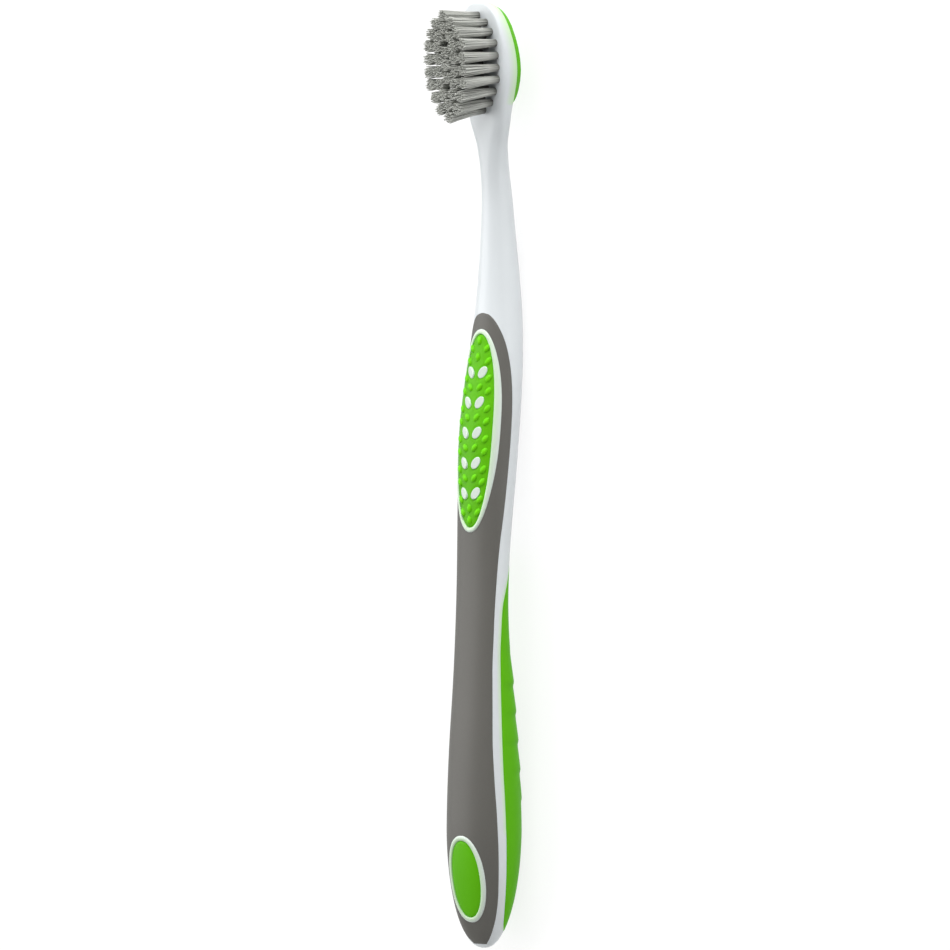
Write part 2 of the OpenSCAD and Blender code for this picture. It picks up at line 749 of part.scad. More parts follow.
// Plain green pad near the butt, with its stem
module end_pad() {
    color(green_colour)
        union() {
            front_pad(end_pad_at, end_pad_len, end_pad_w, 0, end_pad_t, pad_crown);
            translate([end_pad_at - brush_len / 2, 0, back_z(end_pad_at, 0) + back_grip_t + fit_gap])
                cylinder(
                    d = stem_d,
                    h = 2 * half_d(end_pad_at) - back_grip_t - fit_gap - end_pad_t / 2
                );
        }
}

// Soft green grip on the back, with ribs across it
module back_grip() {
    color(green_colour)
        difference() {
            back_shell();
            translate([-brush_len / 2, -palm_w, -palm_t])
                cube([brush_len, 2 * palm_w, palm_t]);
        }
}

// Soft green tongue cleaner on the back of the head
module tongue_cleaner() {
    color(green_colour)
        cleaner_body();
}

// One tuft: its root in the hole, and its strands
module strand(root, tip) {
    turn = quarter_turn / 2 + atan2(root[1], root[0]);
    reach = strand_w / sqrt(2);
    skin([
        for (end = [[root, -strand_seat], [tip, bristle_h]])
            [for (k = [0 : 3])
                [
                    end[0][0] + reach * cos(turn + quarter_turn * k),
                    end[0][1] + reach * sin(turn + quarter_turn * k),
                    end[1]
                ]]
    ]);
}
root_r = hole_d / 2 - root_gap;
outer_ring = root_r - strand_w;
function ring_spot(r, k, n, twist) =
    [r * cos(4 * quarter_turn * (k + twist) / n), r * sin(4 * quarter_turn * (k + twist) / n)];
strand_spots = concat(
    [for (k = [0 : outer_strands - 1]) ring_spot(outer_ring, k, outer_strands, 0)],
    [for (k = [0 : inner_strands - 1])
        ring_spot(outer_ring * inner_ring_share, k, inner_strands, 1 / 2)]
);
module tuft(i) {
    color(bristle_colour)
        at_face()
            translate([tuft_places[i][0], tuft_places[i][1], 0])
                union() {
                    difference() {
                        translate([0, 0, -hole_depth])
                            cylinder(r = root_r, h = hole_depth);
                        anchor_slot(root_gap);
                    }
                    for (spot = strand_spots)
                        strand(spot, spot * (1 + tuft_flare_share) + tuft_places[i] * field_flare_share);
                }
}

// Metal plates that wedge the tufts in their holes
module tuft_anchors() {
    color(metal_colour)
        at_face()
            for (p = tuft_places)
                translate([p[0], p[1], 0])
                    anchor_slot(0);
}

handle_core();
front_grip();
thumb_pad();
end_pad();
back_grip();
tongue_cleaner();
tuft_anchors();
for (i = [0 : len(tuft_names) - 1])
    tuft(i);
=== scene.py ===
import math
import random

import bmesh
import bpy
from bpy.props import FloatProperty, FloatVectorProperty, IntProperty, PointerProperty
from bpy.types import Operator, Panel, PropertyGroup
from mathutils import Matrix, Vector


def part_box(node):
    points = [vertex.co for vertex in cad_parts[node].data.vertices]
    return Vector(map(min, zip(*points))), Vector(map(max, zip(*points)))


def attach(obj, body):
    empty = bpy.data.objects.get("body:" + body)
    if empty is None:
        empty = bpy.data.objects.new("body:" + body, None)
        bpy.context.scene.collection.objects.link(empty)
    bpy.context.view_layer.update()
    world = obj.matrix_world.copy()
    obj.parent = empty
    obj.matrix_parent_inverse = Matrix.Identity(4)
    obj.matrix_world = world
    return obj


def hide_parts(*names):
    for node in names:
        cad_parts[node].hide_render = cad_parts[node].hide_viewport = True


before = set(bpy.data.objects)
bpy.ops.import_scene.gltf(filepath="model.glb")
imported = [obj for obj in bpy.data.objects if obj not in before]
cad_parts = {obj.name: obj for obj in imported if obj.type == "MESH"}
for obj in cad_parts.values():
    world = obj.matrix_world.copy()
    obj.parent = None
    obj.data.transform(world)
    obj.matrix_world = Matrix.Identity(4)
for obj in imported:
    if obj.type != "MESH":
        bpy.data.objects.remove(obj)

bl_info = {
    "name": "Manual toothbrush",
    "version": (1, 0, 0),
    "blender": (4, 5, 0),
    "location": "3D View > Sidebar > Toothbrush",
    "description": "Models the pieces and finishes of a manual toothbrush round its frame",
    "category": "Object",
}

MM = 0.001
QUARTER = math.pi / 2
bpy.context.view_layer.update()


def span(node):
    """Stations of a node's two ends, measured from the butt end of the brush."""
    low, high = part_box(node)
    return low.x - BUTT_X, high.x - BUTT_X


def width(node):
    """Size of a node across the brush."""
    low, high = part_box(node)
    return high.y - low.y


BUTT_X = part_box("handle_core")[0].x
BRUSH_LEN = span("handle_core")[1]
FRONT_FROM, FRONT_TO = span("front_grip")
BACK_FROM, BACK_TO = span("back_grip")
THUMB_FROM, THUMB_TO = span("thumb_pad")
END_FROM, END_TO = span("end_pad")
CLEANER_FROM, CLEANER_TO = span("tongue_cleaner")
# Each pad's middle, length and width
THUMB = (THUMB_FROM + THUMB_TO) / 2, THUMB_TO - THUMB_FROM, width("thumb_pad")
END = (END_FROM + END_TO) / 2, END_TO - END_FROM, width("end_pad")
TUFTS = sorted(
    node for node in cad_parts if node.startswith("tuft_") and node != "tuft_anchors"
)

# Seams, as shares of a quarter turn from the middle of the front or of the back,
# at shares of each grip's length
FRONT_SEAM_SHARES = [
    (0, 0.42), (0.008, 0.52), (0.022, 0.615), (0.045, 0.69), (0.08, 0.722),
    (0.15, 0.718), (0.2, 0.69), (0.26, 0.64),
    (0.33, 0.607), (0.43, 0.609), (0.48, 0.645), (0.54, 0.695), (0.6, 0.76), (0.64, 0.825),
    (0.68, 0.905), (0.73, 0.965), (0.8, 1), (0.88, 0.975), (0.95, 0.945), (1, 0.86),
]
BACK_SEAM_SHARES = [
    (0, 0.66), (0.005, 0.84), (0.015, 0.97), (0.04, 1.035), (0.08, 1.08),
    (0.16, 1.102), (0.24, 1.116), (0.34, 1.145),
    (0.45, 1.17), (0.6, 1.172), (0.68, 1.16), (0.74, 1.14), (0.8, 1.09), (0.86, 1.075), (1, 0.95),
]
# How far the centre line has got, half-way along each stretch of its bend
RISE_SHARE = 0.5
FALL_SHARE = 0.33
LIFT_SHARE = 0.21
# How much wider the neck has got, half-way from its slimmest part to the root of the head
NECK_SHARE = 0.31
# Smallest share of the full section at a blunt end, and of a grip's full width at its tip
END_SHARE = 0.03
ARCH_SHARE = 0.04
# Roundness of the outlines, where 2 is an ellipse
BUTT_POWER = 2.45
BUTT_SIDE_POWER = 1.6
ARCH_POWER = 2.2
TIP_POWER = 2.4
THIN_POWER = 4
CLEANER_POWER = 8
OVAL_POWER = 2.15
HANDLE_POWER = 2.3
PALM_BACK_POWER = 2.04
HEAD_POWER = 5
# How far the section's roundness has changed: from the handle's to the head's, half-way along
# the neck's end and at the root, and from the palm's back to the handle's, near the butt
NECK_POWER_SHARE, ROOT_POWER_SHARE, BUTT_POWER_SHARE = 0.05, 0.6, 0.7
# Stretch from the palm to the waist over which the back loses its extra roundness
PALM_BACK_FROM, PALM_BACK_TO = 0.15, 0.75
# Tufts on the centre line, and on one side, as shares of half the field's length and width
SPINE_TUFT_SHARES = [1, 0.75, 0.25, 0, -0.25, -0.77, -1]
SIDE_TUFT_SHARES = [
    (0.84, 0.46), (0.64, 0.73), (0.4, 0.97), (0.13, 1), (-0.12, 1), (-0.37, 0.97),
    (-0.62, 0.74), (-0.85, 0.47), (0.56, 0.31), (0.37, 0.47), (0.13, 0.47),
    (-0.13, 0.47), (-0.37, 0.47), (-0.57, 0.28),
]
# Lean of the tufts away from the field's middle: toward the butt, toward the tip, and sideways
BUTT_LEAN, TIP_LEAN, SIDE_LEAN = 0.1, 0.04, 0.1
# How late a filament spreads on its way up, where 1 is evenly
SPREAD_POWER = 1.4
# Outer nubs beside each pip row, as shares of the pitch toward the butt, and how far out
# they stand as a share of half the pad's width
NUB_SHARES = [0.21, 0.63]
NUB_SIDE_SHARE = 0.76

# Points round the core: over the front, on either side, and over the back
FRONT_POINTS = 37
LAND_POINTS = 13
BACK_POINTS = 29
LAYOUT_TURN = math.radians(62)
GRIP_POINTS = 45
EDGE_CLUSTER = 1.8
OVAL_POINTS = 96
RIM_SECTION_POINTS = 16
# Steps along the core's stretches, and the half width of the step at a recess's end
BUTT_STEPS, HANDLE_STEPS, NECK_STEPS, TIP_STEPS, ARCH_STEPS = 24, 78, 28, 26, 18
RING_STEP = 0.01 * MM
# Steps along a sheet and points across it
THUMB_GRID, END_GRID, CLEANER_GRID = (210, 53), (48, 25), (150, 41)
RIB_STEPS = 18
# Stations through the round edge of a grip's blunt end, and the space kept after them
EDGE_SHARES = (0, 0.06, 0.2, 0.45, 0.75, 1)
EDGE_CLEAR = 0.1 * MM
# Ribs are short at the palm and reach the seams from this rib on
PALM_RIB_REACH, FULL_RIB, RIB_END_POWER = 0.42, 3, 4
PAD_GAP = 0.03 * MM
PIP_BEVEL = 0.15 * MM
NUB_SINK = 0.12 * MM
# Moat round each pip in the thumb pad
MOAT_DEPTH, MOAT_OUT, MOAT_W = 0.12 * MM, 0.1 * MM, 0.25 * MM
# How far the cleaner of this model starts before the node's own end
CLEANER_LEAD = MM
# Reach and strength of the painted green light that shines through the core beside each green piece
SEAM_GLOW = 0.8 * MM
CLEANER_GLOW, CLEANER_GLOW_REACH = 1.6, 3 * MM
PIP_GLOW, RIM_GLOW_INSET, RIM_GLOW_REACH = 0.3, 0.1 * MM, 1.2
# Bristles, in mm: how unevenly they are trimmed, spread and bent
TRIM_SEED = 7
TUFT_TRIM, FILAMENT_TRIM, TIP_DRIFT, FILAMENT_BOW = 0.2, 0.5, 0.13, 0.05
TUFT_SEAT = 0.5 * MM
# Tufts this near the middle of the field have their painted root shade run at this share, so it
# reaches further up them
INNER_FIELD, INNER_LIGHT = 0.4, 0.45
# Direction of each lamp from the brush, and its power
LAMPS = {
    "Top light": ((1, -0.35, 0.35), 12.7),
    "Low fill": ((-1, -0.3, 0.5), 2),
    "Key": ((1, 0.3, 1), 3.2),
    "Side light": ((0.2, 1, 0.8), 6.1),
}
LAMP_SIZE, LAMP_DISTANCE = 0.9, 1.1
# Sockets of a Mix node that is set to colours
MIX_FACTOR, MIX_A, MIX_B, MIX_RESULT = 0, 6, 7, 2


def length_prop(name, description, default):
    return FloatProperty(name=name, description=description, default=default, unit="LENGTH")


def angle_prop(name, description, degrees):
    return FloatProperty(
        name=name, description=description, default=math.radians(degrees), subtype="ANGLE"
    )


def count_prop(name, description, default, least):
    return IntProperty(name=name, description=description, default=default, min=least)


def colour_prop(name, description, default):
    return FloatVectorProperty(
        name=name, description=description, default=default, size=3, subtype="COLOR"
    )


class HandleSizes(PropertyGroup):
    """Stations, widths and thicknesses along the handle."""

    palm_at: length_prop("Palm station", "Distance from the butt end to the palm swell", 24 * MM)
    palm_w: length_prop("Palm width", "Width of the palm swell", 15.6 * MM)
    palm_t: length_prop("Palm thickness", "Thickness of the palm swell", 13.5 * MM)
    waist_back: length_prop("Waist from tip", "Distance from the tip to the waist", 118 * MM)
    waist_w: length_prop("Waist width", "Width of the waist", 12.2 * MM)
    waist_t: length_prop("Waist thickness", "Thickness of the waist", 7.1 * MM)
    thumb_w: length_prop("Thumb rest width", "Width of the thumb rest", 12.4 * MM)
    thumb_t: length_prop("Thumb rest thickness", "Thickness of the thumb rest", 10.5 * MM)
    crown_back: length_prop(
        "Crown from tip", "Distance from the tip to the top of the arch", 121.5 * MM
    )
    crown_rise: length_prop("Crown rise", "Rise of the centre line there over the palm", 1.4 * MM)
    saddle_back: length_prop(
        "Saddle from tip", "Distance from the tip to the lowest part", 59.5 * MM
    )
    saddle_drop: length_prop(
        "Saddle drop", "Drop of the centre line there under the palm", 2.4 * MM
    )


class HeadSizes(PropertyGroup):
    """Stations, widths and thicknesses of the neck and the head."""

    neck_back: length_prop("Neck from tip", "Distance from the tip to the slimmest part", 35 * MM)
    neck_w: length_prop("Neck width", "Width of the neck", 5.5 * MM)
    neck_t: length_prop("Neck thickness", "Thickness of the neck", 5.7 * MM)
    root_back: length_prop(
        "Root from tip", "Distance from the tip to the root of the head", 23 * MM
    )
    root_w: length_prop("Root width", "Width at the root of the head", 9.9 * MM)
    head_back: length_prop("Head from tip", "Distance from the tip to the widest part", 13 * MM)
    head_w: length_prop("Head width", "Width of the head", 13.1 * MM)
    head_t: length_prop("Head thickness", "Thickness of the head under its bristle face", 4.5 * MM)
    head_lift: length_prop("Head lift", "Lift of the head's centre line over the palm", 1.2 * MM)
    root_drop: length_prop("Root drop", "Drop of the centre line at the root of the head", 0.6 * MM)
    tip_lift: length_prop("Tip lift", "Further lift of the centre line at the very tip", 2.2 * MM)
    tip_run: length_prop("Tip run", "Length of the tip over which the head thins out", 10 * MM)
    face_skim: length_prop(
        "Face skim", "Crown that is skimmed off to make the bristle face", 0.25 * MM
    )
    face_tilt: angle_prop("Face tilt", "Tilt of the bristle face, rising toward the tip", 6)
    cleaner_edge: length_prop(
        "Cleaner edge", "Bare edge of the head beside the tongue cleaner", 0.3 * MM
    )
    cleaner_out: length_prop(
        "Cleaner height", "Height of the cleaner over the back of the head", 1.2 * MM
    )
    ridge_count: count_prop("Cleaner ridges", "Ridges across the tongue cleaner", 6, 1)
    ridge_pitch: length_prop("Ridge pitch", "Pitch of the cleaner's ridges", 2.2 * MM)
    ridge_w: length_prop("Ridge width", "Width of a ridge of the cleaner", 0.9 * MM)
    ridge_h: length_prop("Ridge height", "Height of a ridge over the cleaner", 0.35 * MM)


class GripSizes(PropertyGroup):
    """Soft grips and pads of the handle."""

    front_t: length_prop("Front grip depth", "Depth that the front grip is let in", 0.9 * MM)
    front_arch: length_prop("Front arch", "Length of the front grip's arched end", 20 * MM)
    back_t: length_prop("Back grip depth", "Depth that the back grip is let in", 1.1 * MM)
    back_arch: length_prop("Back arch", "Length of the back grip's pointed end", 17 * MM)
    rib_count: count_prop("Ribs", "Ribs across the back grip", 6, 1)
    rib_pitch: length_prop("Rib pitch", "Pitch of the ribs", 5.85 * MM)
    rib_at: length_prop("First rib", "Station of the first rib's crest", 24.2 * MM)
    rib_h: length_prop("Rib height", "Height of a rib's crest over the grip", 0.3 * MM)
    rib_flank: length_prop("Rib flank", "Length of a rib's steep flank", 0.7 * MM)
    rib_land: length_prop(
        "Rib land", "Height that the flat under the brush takes off a rib", 0.14 * MM
    )
    proud: length_prop("Grip proud", "How far a soft grip stands over the hard core", 0.05 * MM)
    sink: length_prop("Seam depth", "Depth of the groove along a seam", 0.09 * MM)
    edge: length_prop("Edge radius", "Radius of a soft piece's edge at its seam", 0.4 * MM)
    rim_w: length_prop("Rim width", "Width of the raised rims round the pads", 1.05 * MM)
    rim_h: length_prop("Rim height", "Height of the rims over the grip", 0.27 * MM)
    pad_crown: length_prop("Pad crown", "How much a pad bulges over the handle", 0.15 * MM)
    pip_rows: count_prop("Pip rows", "Rows of hard pips through the thumb pad", 5, 2)
    pip_margin: length_prop(
        "Pip margin", "Distance from the pad's end to the nearest row", 7.3 * MM
    )
    pip_gauge: length_prop("Pip gauge", "Distance between the two columns of pips", 3.3 * MM)
    pip_shift: length_prop(
        "Pip shift", "How far the rows of pips are set toward the butt end", 0.45 * MM
    )
    pip_len: length_prop("Pip length", "Length of a pip", 2.7 * MM)
    pip_w: length_prop("Pip width", "Width of a pip", 1.7 * MM)
    pip_turn: angle_prop("Pip turn", "Turn of a pip: its end toward the head points outward", 35)
    pip_h: length_prop("Pip height", "Height of a pip over the pad", 0.12 * MM)
    pip_lean: angle_prop("Pip lean", "Outward lean of a pip", 18)
    nub_len: length_prop("Nub length", "Length of a soft nub on the thumb pad", 1.9 * MM)
    nub_w: length_prop("Nub width", "Width of a nub", 1.2 * MM)
    nub_h: length_prop("Nub height", "Height of a nub over the pad", 0.43 * MM)
    nub_gauge: length_prop("Nub gauge", "Distance between the two inner columns of nubs", 2.5 * MM)


class BristleSizes(PropertyGroup):
    """The bristle field and the filaments of its tufts."""

    field_back: length_prop(
        "Field from tip", "Distance from the tip to the field's middle", 12.1 * MM
    )
    field_len: length_prop("Field length", "Length of the field between its end tufts", 19 * MM)
    field_w: length_prop("Field width", "Width of the field between its side tufts", 8.9 * MM)
    height: length_prop("Bristle height", "Height of the trimmed bristles over the face", 10.5 * MM)
    hole_d: length_prop("Hole diameter", "Diameter of a tuft hole", 1.6 * MM)
    hole_depth: length_prop("Hole depth", "Depth of a tuft hole", 2.5 * MM)
    filament_d: length_prop("Filament diameter", "Diameter of a bristle filament", 0.2 * MM)
    filaments: count_prop("Filaments", "Filaments in a tuft", 64, 7)
    flare: FloatProperty(
        name="Tuft flare", description="How much wider a tuft is at its tip than at its hole",
        default=0.72, subtype="FACTOR",
    )


class FinishColours(PropertyGroup):
    """Colours of the mouldings."""

    core: colour_prop("Core", "Colour of the hard core", (0.81, 0.85, 0.87))
    # Colour that painted green light, shining through the core, gives it beside the green pieces
    glow: colour_prop(
        "Core beside green", "Colour of the core where green shines through it", (0.66, 0.88, 0.56)
    )
    green: colour_prop(
        "Green elastomer", "Colour of the pads, back grip and cleaner", (0.135, 0.57, 0.002)
    )
    grey: colour_prop("Grey elastomer", "Colour of the front grip", (0.148, 0.143, 0.128))
    bristle: colour_prop("Bristles", "Colour of the filaments", (0.6, 0.61, 0.57))
    metal: colour_prop("Anchors", "Colour of the anchor plates", (0.72, 0.6, 0.4))


class StageSettings(PropertyGroup):
    """Camera and light."""

    turn: angle_prop("Camera turn", "Turn of the camera round the brush, from its front", 45)
    tilt: angle_prop("Camera tilt", "Lean of the brush in the picture", 0.886)
    look_z: length_prop(
        "Camera height", "Height over the table that the camera looks at", 10.76 * MM
    )
    distance: length_prop("Camera distance", "Distance from the brush to the camera", 1.5)
    view_w: length_prop("View width", "Width that the picture takes in", 190.8 * MM)


def between(a, b, share):
    return a + (b - a) * share


def signed_power(value, power):
    return math.copysign(abs(value) ** power, value)


def arch(u, power):
    return max(0, 1 - max(0, u) ** power) ** (1 / power)


def row_slope(rows, i):
    if i in (0, len(rows) - 1):
        return 0
    before = (rows[i][1] - rows[i - 1][1]) / (rows[i][0] - rows[i - 1][0])
    after = (rows[i + 1][1] - rows[i][1]) / (rows[i + 1][0] - rows[i][0])
    return 0 if before * after <= 0 else 2 * before * after / (before + after)


def smooth(rows, s):
    """Value at s on the smooth curve through rows of (station, value), level at highs and lows."""
    i = 0
    while i < len(rows) - 2 and s >= rows[i + 1][0]:
        i += 1
    run = rows[i + 1][0] - rows[i][0]
    u = min(1, max(0, (s - rows[i][0]) / run))
    v = 1 - u
    level = (1 + 2 * u) * v * v * rows[i][1] + (3 - 2 * u) * u * u * rows[i + 1][1]
    return level + u * v * run * (v * row_slope(rows, i) - u * row_slope(rows, i + 1))


def even(a, b, count):
    return [between(a, b, k / count) for k in range(count + 1)]


def tight_start(a, b, count):
    return [between(a, b, 1 - math.cos(QUARTER * k / count)) for k in range(count + 1)]


def tight_end(a, b, count):
    return [between(a, b, math.sin(QUARTER * k / count)) for k in range(count + 1)]


def tight_both(a, b, count):
    return [between(a, b, (1 - math.cos(2 * QUARTER * k / count)) / 2) for k in range(count + 1)]


def edge_rise(distance, radius, proud, sink):
    """Height of a moulding's round edge, which starts `sink` under the skin at its seam."""
    t = min(1, max(0, distance / radius))
    return (proud + sink) * math.sqrt(t * (2 - t)) - sink


class Shape:
    """Form of the brush, worked out from the sizes in the sidebar and from the frame."""

    def __init__(self, scene):
        h, d, g, b = scene.brush_handle, scene.brush_head, scene.brush_grips, scene.brush_bristles
        self.handle, self.head, self.grips, self.bristles = h, d, g, b
        self.thumb_at = THUMB[0]
        waist, crown, saddle = (
            BRUSH_LEN - back for back in (h.waist_back, h.crown_back, h.saddle_back)
        )
        self.neck_at, self.root_at, self.head_at, self.field_at = (
            BRUSH_LEN - back for back in (d.neck_back, d.root_back, d.head_back, b.field_back)
        )
        self.palm_z = h.palm_t / 2 + g.rib_h - g.rib_land
        root_lift = d.head_lift - d.root_drop
        self.spine_rows = [
            (h.palm_at, 0),
            (between(h.palm_at, crown, 1 / 2), h.crown_rise * RISE_SHARE),
            (crown, h.crown_rise),
            (between(crown, saddle, 1 / 2), between(h.crown_rise, -h.saddle_drop, FALL_SHARE)),
            (saddle, -h.saddle_drop),
            (between(saddle, self.root_at, 1 / 2), between(-h.saddle_drop, root_lift, LIFT_SHARE)),
            (self.root_at, root_lift),
            (self.head_at, d.head_lift),
            (BRUSH_LEN, d.head_lift + d.tip_lift),
        ]
        self.face_z = self.spine_z(self.field_at) + d.head_t / 2
        root_d = self.face_at(self.root_at) - self.spine_z(self.root_at)
        neck_end = between(self.neck_at, self.root_at, 1 / 2)
        self.width_rows = [
            (h.palm_at, h.palm_w / 2), (waist, h.waist_w / 2), (self.thumb_at, h.thumb_w / 2),
            (self.neck_at, d.neck_w / 2),
            (neck_end, between(d.neck_w, d.root_w, NECK_SHARE) / 2),
            (self.root_at, d.root_w / 2), (self.head_at, d.head_w / 2),
        ]
        self.depth_rows = [
            (h.palm_at, h.palm_t / 2), (waist, h.waist_t / 2), (self.thumb_at, h.thumb_t / 2),
            (self.neck_at, d.neck_t / 2), (self.root_at, root_d),
            (self.head_at, d.head_t / 2 + d.face_skim),
        ]
        self.power_rows = [
            (self.thumb_at, HANDLE_POWER), (self.neck_at, HANDLE_POWER),
            (neck_end, between(HANDLE_POWER, HEAD_POWER, NECK_POWER_SHARE)),
            (self.root_at, between(HANDLE_POWER, HEAD_POWER, ROOT_POWER_SHARE)),
            (self.head_at, HEAD_POWER),
        ]
        self.back_power_rows = [
            (h.palm_at / 3, between(PALM_BACK_POWER, HANDLE_POWER, BUTT_POWER_SHARE)),
            (between(h.palm_at, waist, PALM_BACK_FROM), PALM_BACK_POWER),
            (between(h.palm_at, waist, PALM_BACK_TO), HANDLE_POWER),
        ]

    def spine_z(self, s):
        return self.palm_z + smooth(self.spine_rows, s)

    def face_at(self, s):
        return self.face_z + (s - self.field_at) * math.tan(self.head.face_tilt)

    def butt_arch(self, s, power):
        palm_at = self.handle.palm_at
        return max(END_SHARE, arch(1 - s / palm_at, power)) if s < palm_at else 1

    def tip_arch(self, s):
        if s <= self.head_at:
            return 1
        return max(END_SHARE, arch((s - self.head_at) / self.head.head_back, TIP_POWER))

    def thin_arch(self, s):
        u = (s - BRUSH_LEN + self.head.tip_run) / self.head.tip_run
        return max(END_SHARE, arch(u, THIN_POWER)) if u > 0 else 1

    def half_w(self, s):
        return smooth(self.width_rows, s) * self.butt_arch(s, BUTT_POWER) * self.tip_arch(s)

    def half_d(self, s):
        return smooth(self.depth_rows, s) * self.butt_arch(s, BUTT_SIDE_POWER) * self.thin_arch(s)

    def power_at(self, s, side=1):
        """Roundness of the section at a station, on its front or (-1) on its back."""
        if side < 0 and s < self.thumb_at:
            return smooth(self.back_power_rows, s)
        return smooth(self.power_rows, s)

    def skin_point(self, s, out, a):
        """Point at `out` over the skin, at an angle from the +Y side toward the front."""
        p = 2 / self.power_at(s, math.sin(a))
        return Vector((
            BUTT_X + s,
            (self.half_w(s) + out) * signed_power(math.cos(a), p),
            self.spine_z(s) + (self.half_d(s) + out) * signed_power(math.sin(a), p),
        ))

    def crown_z(self, s, y, side=1):
        n = self.power_at(s, side)
        return self.half_d(s) * max(0, 1 - min(1, abs(y) / self.half_w(s)) ** n) ** (1 / n)

    def front_z(self, s, y):
        return self.spine_z(s) + self.crown_z(s, y)

    def back_z(self, s, y):
        return self.spine_z(s) - self.crown_z(s, y, -1)

    def mean_radius(self, s):
        return (self.half_w(s) + self.half_d(s)) / 2

    def front_wrap(self, s):
        """Half the angle that the front grip covers at a station."""
        share = smooth(FRONT_SEAM_SHARES, (s - FRONT_FROM) / (FRONT_TO - FRONT_FROM))
        u = (s - FRONT_TO + self.grips.front_arch) / self.grips.front_arch
        return QUARTER * share * max(ARCH_SHARE, arch(u, ARCH_POWER))

    def back_wrap(self, s):
        """Half the angle that the back grip covers at a station."""
        share = smooth(BACK_SEAM_SHARES, (s - BACK_FROM) / (BACK_TO - BACK_FROM))
        u = (s - BACK_TO + self.grips.back_arch) / self.grips.back_arch
        return QUARTER * share * max(ARCH_SHARE, arch(u, ARCH_POWER))

    def seam_distance(self, s, wrap, v, start):
        """Distance over the skin from a grip's seam, for a point at a share v of its half angle."""
        step = 0.05 * MM
        radius = self.mean_radius(s)
        slope = (wrap(s + step) - wrap(s - step)) / (2 * step) * radius
        across = (1 - abs(v)) * wrap(s) * radius / math.sqrt(1 + slope * slope)
        return min(across, s - start)

    def rib_rise(self, s):
        """Height of the back grip's ribs: a gentle rise from the head side and a steep flank."""
        g = self.grips
        end = g.rib_at + g.rib_pitch * g.rib_count
        if s <= g.rib_at - g.rib_flank or s >= end:
            return 0
        if s < g.rib_at:
            return g.rib_h * (s - g.rib_at + g.rib_flank) / g.rib_flank
        v = (s - g.rib_at) / g.rib_pitch % 1
        flank = g.rib_flank / g.rib_pitch
        if v < 1 - flank or s > end - g.rib_pitch:
            return g.rib_h * (1 - v / (1 - flank))
        return g.rib_h * (v - 1 + flank) / flank

    def soft_rib_rise(self, s):
        """The same ribs with their crests and roots rounded over."""
        reach = 0.3 * MM
        steps = (-1, -0.5, 0, 0.5, 1)
        return sum(self.rib_rise(s + reach * k) for k in steps) / len(steps)

    def rib_reach(self, s, v):
        """How much of a rib's height is left at a share v across: ribs are short at the palm."""
        g = self.grips
        full_at = g.rib_at + FULL_RIB * g.rib_pitch
        reach = smooth([(g.rib_at, PALM_RIB_REACH), (full_at, 1)], s)
        return max(0, 1 - (v / reach) ** RIB_END_POWER)

    def core_stations(self):
        g = self.grips
        marks = tight_start(0, self.handle.palm_at, BUTT_STEPS)
        marks += even(self.handle.palm_at, self.neck_at, HANDLE_STEPS)
        marks += even(self.neck_at, self.head_at, NECK_STEPS)
        marks += tight_end(self.head_at, BRUSH_LEN, TIP_STEPS)
        marks += tight_end(FRONT_TO - g.front_arch, FRONT_TO, ARCH_STEPS)
        marks += tight_end(BACK_TO - g.back_arch, BACK_TO, ARCH_STEPS)
        marks += [FRONT_FROM, BACK_FROM]
        kept = {FRONT_FROM, FRONT_TO, BACK_FROM, BACK_TO}
        apart = 0.12 * MM
        stations = []
        for s in sorted(marks):
            near = [k for k in kept if abs(k - s) < apart and k != s]
            if near or (stations and s - stations[-1] < 0.3 * apart):
                continue
            stations.append(s)
        return stations


def deselect():
    if bpy.context.object and bpy.context.object.mode != "OBJECT":
        bpy.ops.object.mode_set(mode="OBJECT")
    bpy.ops.object.select_all(action="DESELECT")


def select_only(*pieces):
    deselect()
    for piece in pieces:
        piece.select_set(True)
    bpy.context.view_layer.objects.active = pieces[0]


def apply_modifier(piece, kind, **values):
    """Adds a modifier, sets it and applies it."""
    select_only(piece)
    modifier = piece.modifiers.new(kind.title(), kind)
    for key, value in values.items():
        setattr(modifier, key, value)
    bpy.ops.object.modifier_apply(modifier=modifier.name)


def cut(piece, tool):
    """Takes one closed mesh out of another and deletes the tool."""
    apply_modifier(piece, "BOOLEAN", operation="DIFFERENCE", object=tool, solver="EXACT")
    bpy.data.objects.remove(tool)


def close_and_turn_out(merge=0.002 * MM):
    """In edit mode: merges doubles, then turns all faces outwards."""
    bpy.ops.mesh.select_all(action="SELECT")
    bpy.ops.mesh.remove_doubles(threshold=merge)
    bpy.ops.mesh.normals_make_consistent(inside=False)
    bpy.ops.object.mode_set(mode="OBJECT")


def loft(rings):
    """A disc extruded ring by ring; each ring lists its points in the same order."""
    deselect()
    bpy.ops.mesh.primitive_circle_add(
        vertices=len(rings[0]), radius=MM, fill_type="NGON", enter_editmode=True
    )
    mesh = bpy.context.object.data
    edit = bmesh.from_edit_mesh(mesh)
    edit.verts.layers.int.new("around")
    around = edit.verts.layers.int["around"]
    for place, vertex in enumerate(edit.verts):
        vertex[around] = place
        vertex.co = rings[0][place]
    for ring in rings[1:]:
        bpy.ops.mesh.extrude_region_move()
        edit = bmesh.from_edit_mesh(mesh)
        around = edit.verts.layers.int["around"]
        for vertex in [v for v in edit.verts if v.select]:
            vertex.co = ring[vertex[around]]
    bmesh.update_edit_mesh(mesh)
    close_and_turn_out()
    return bpy.context.object


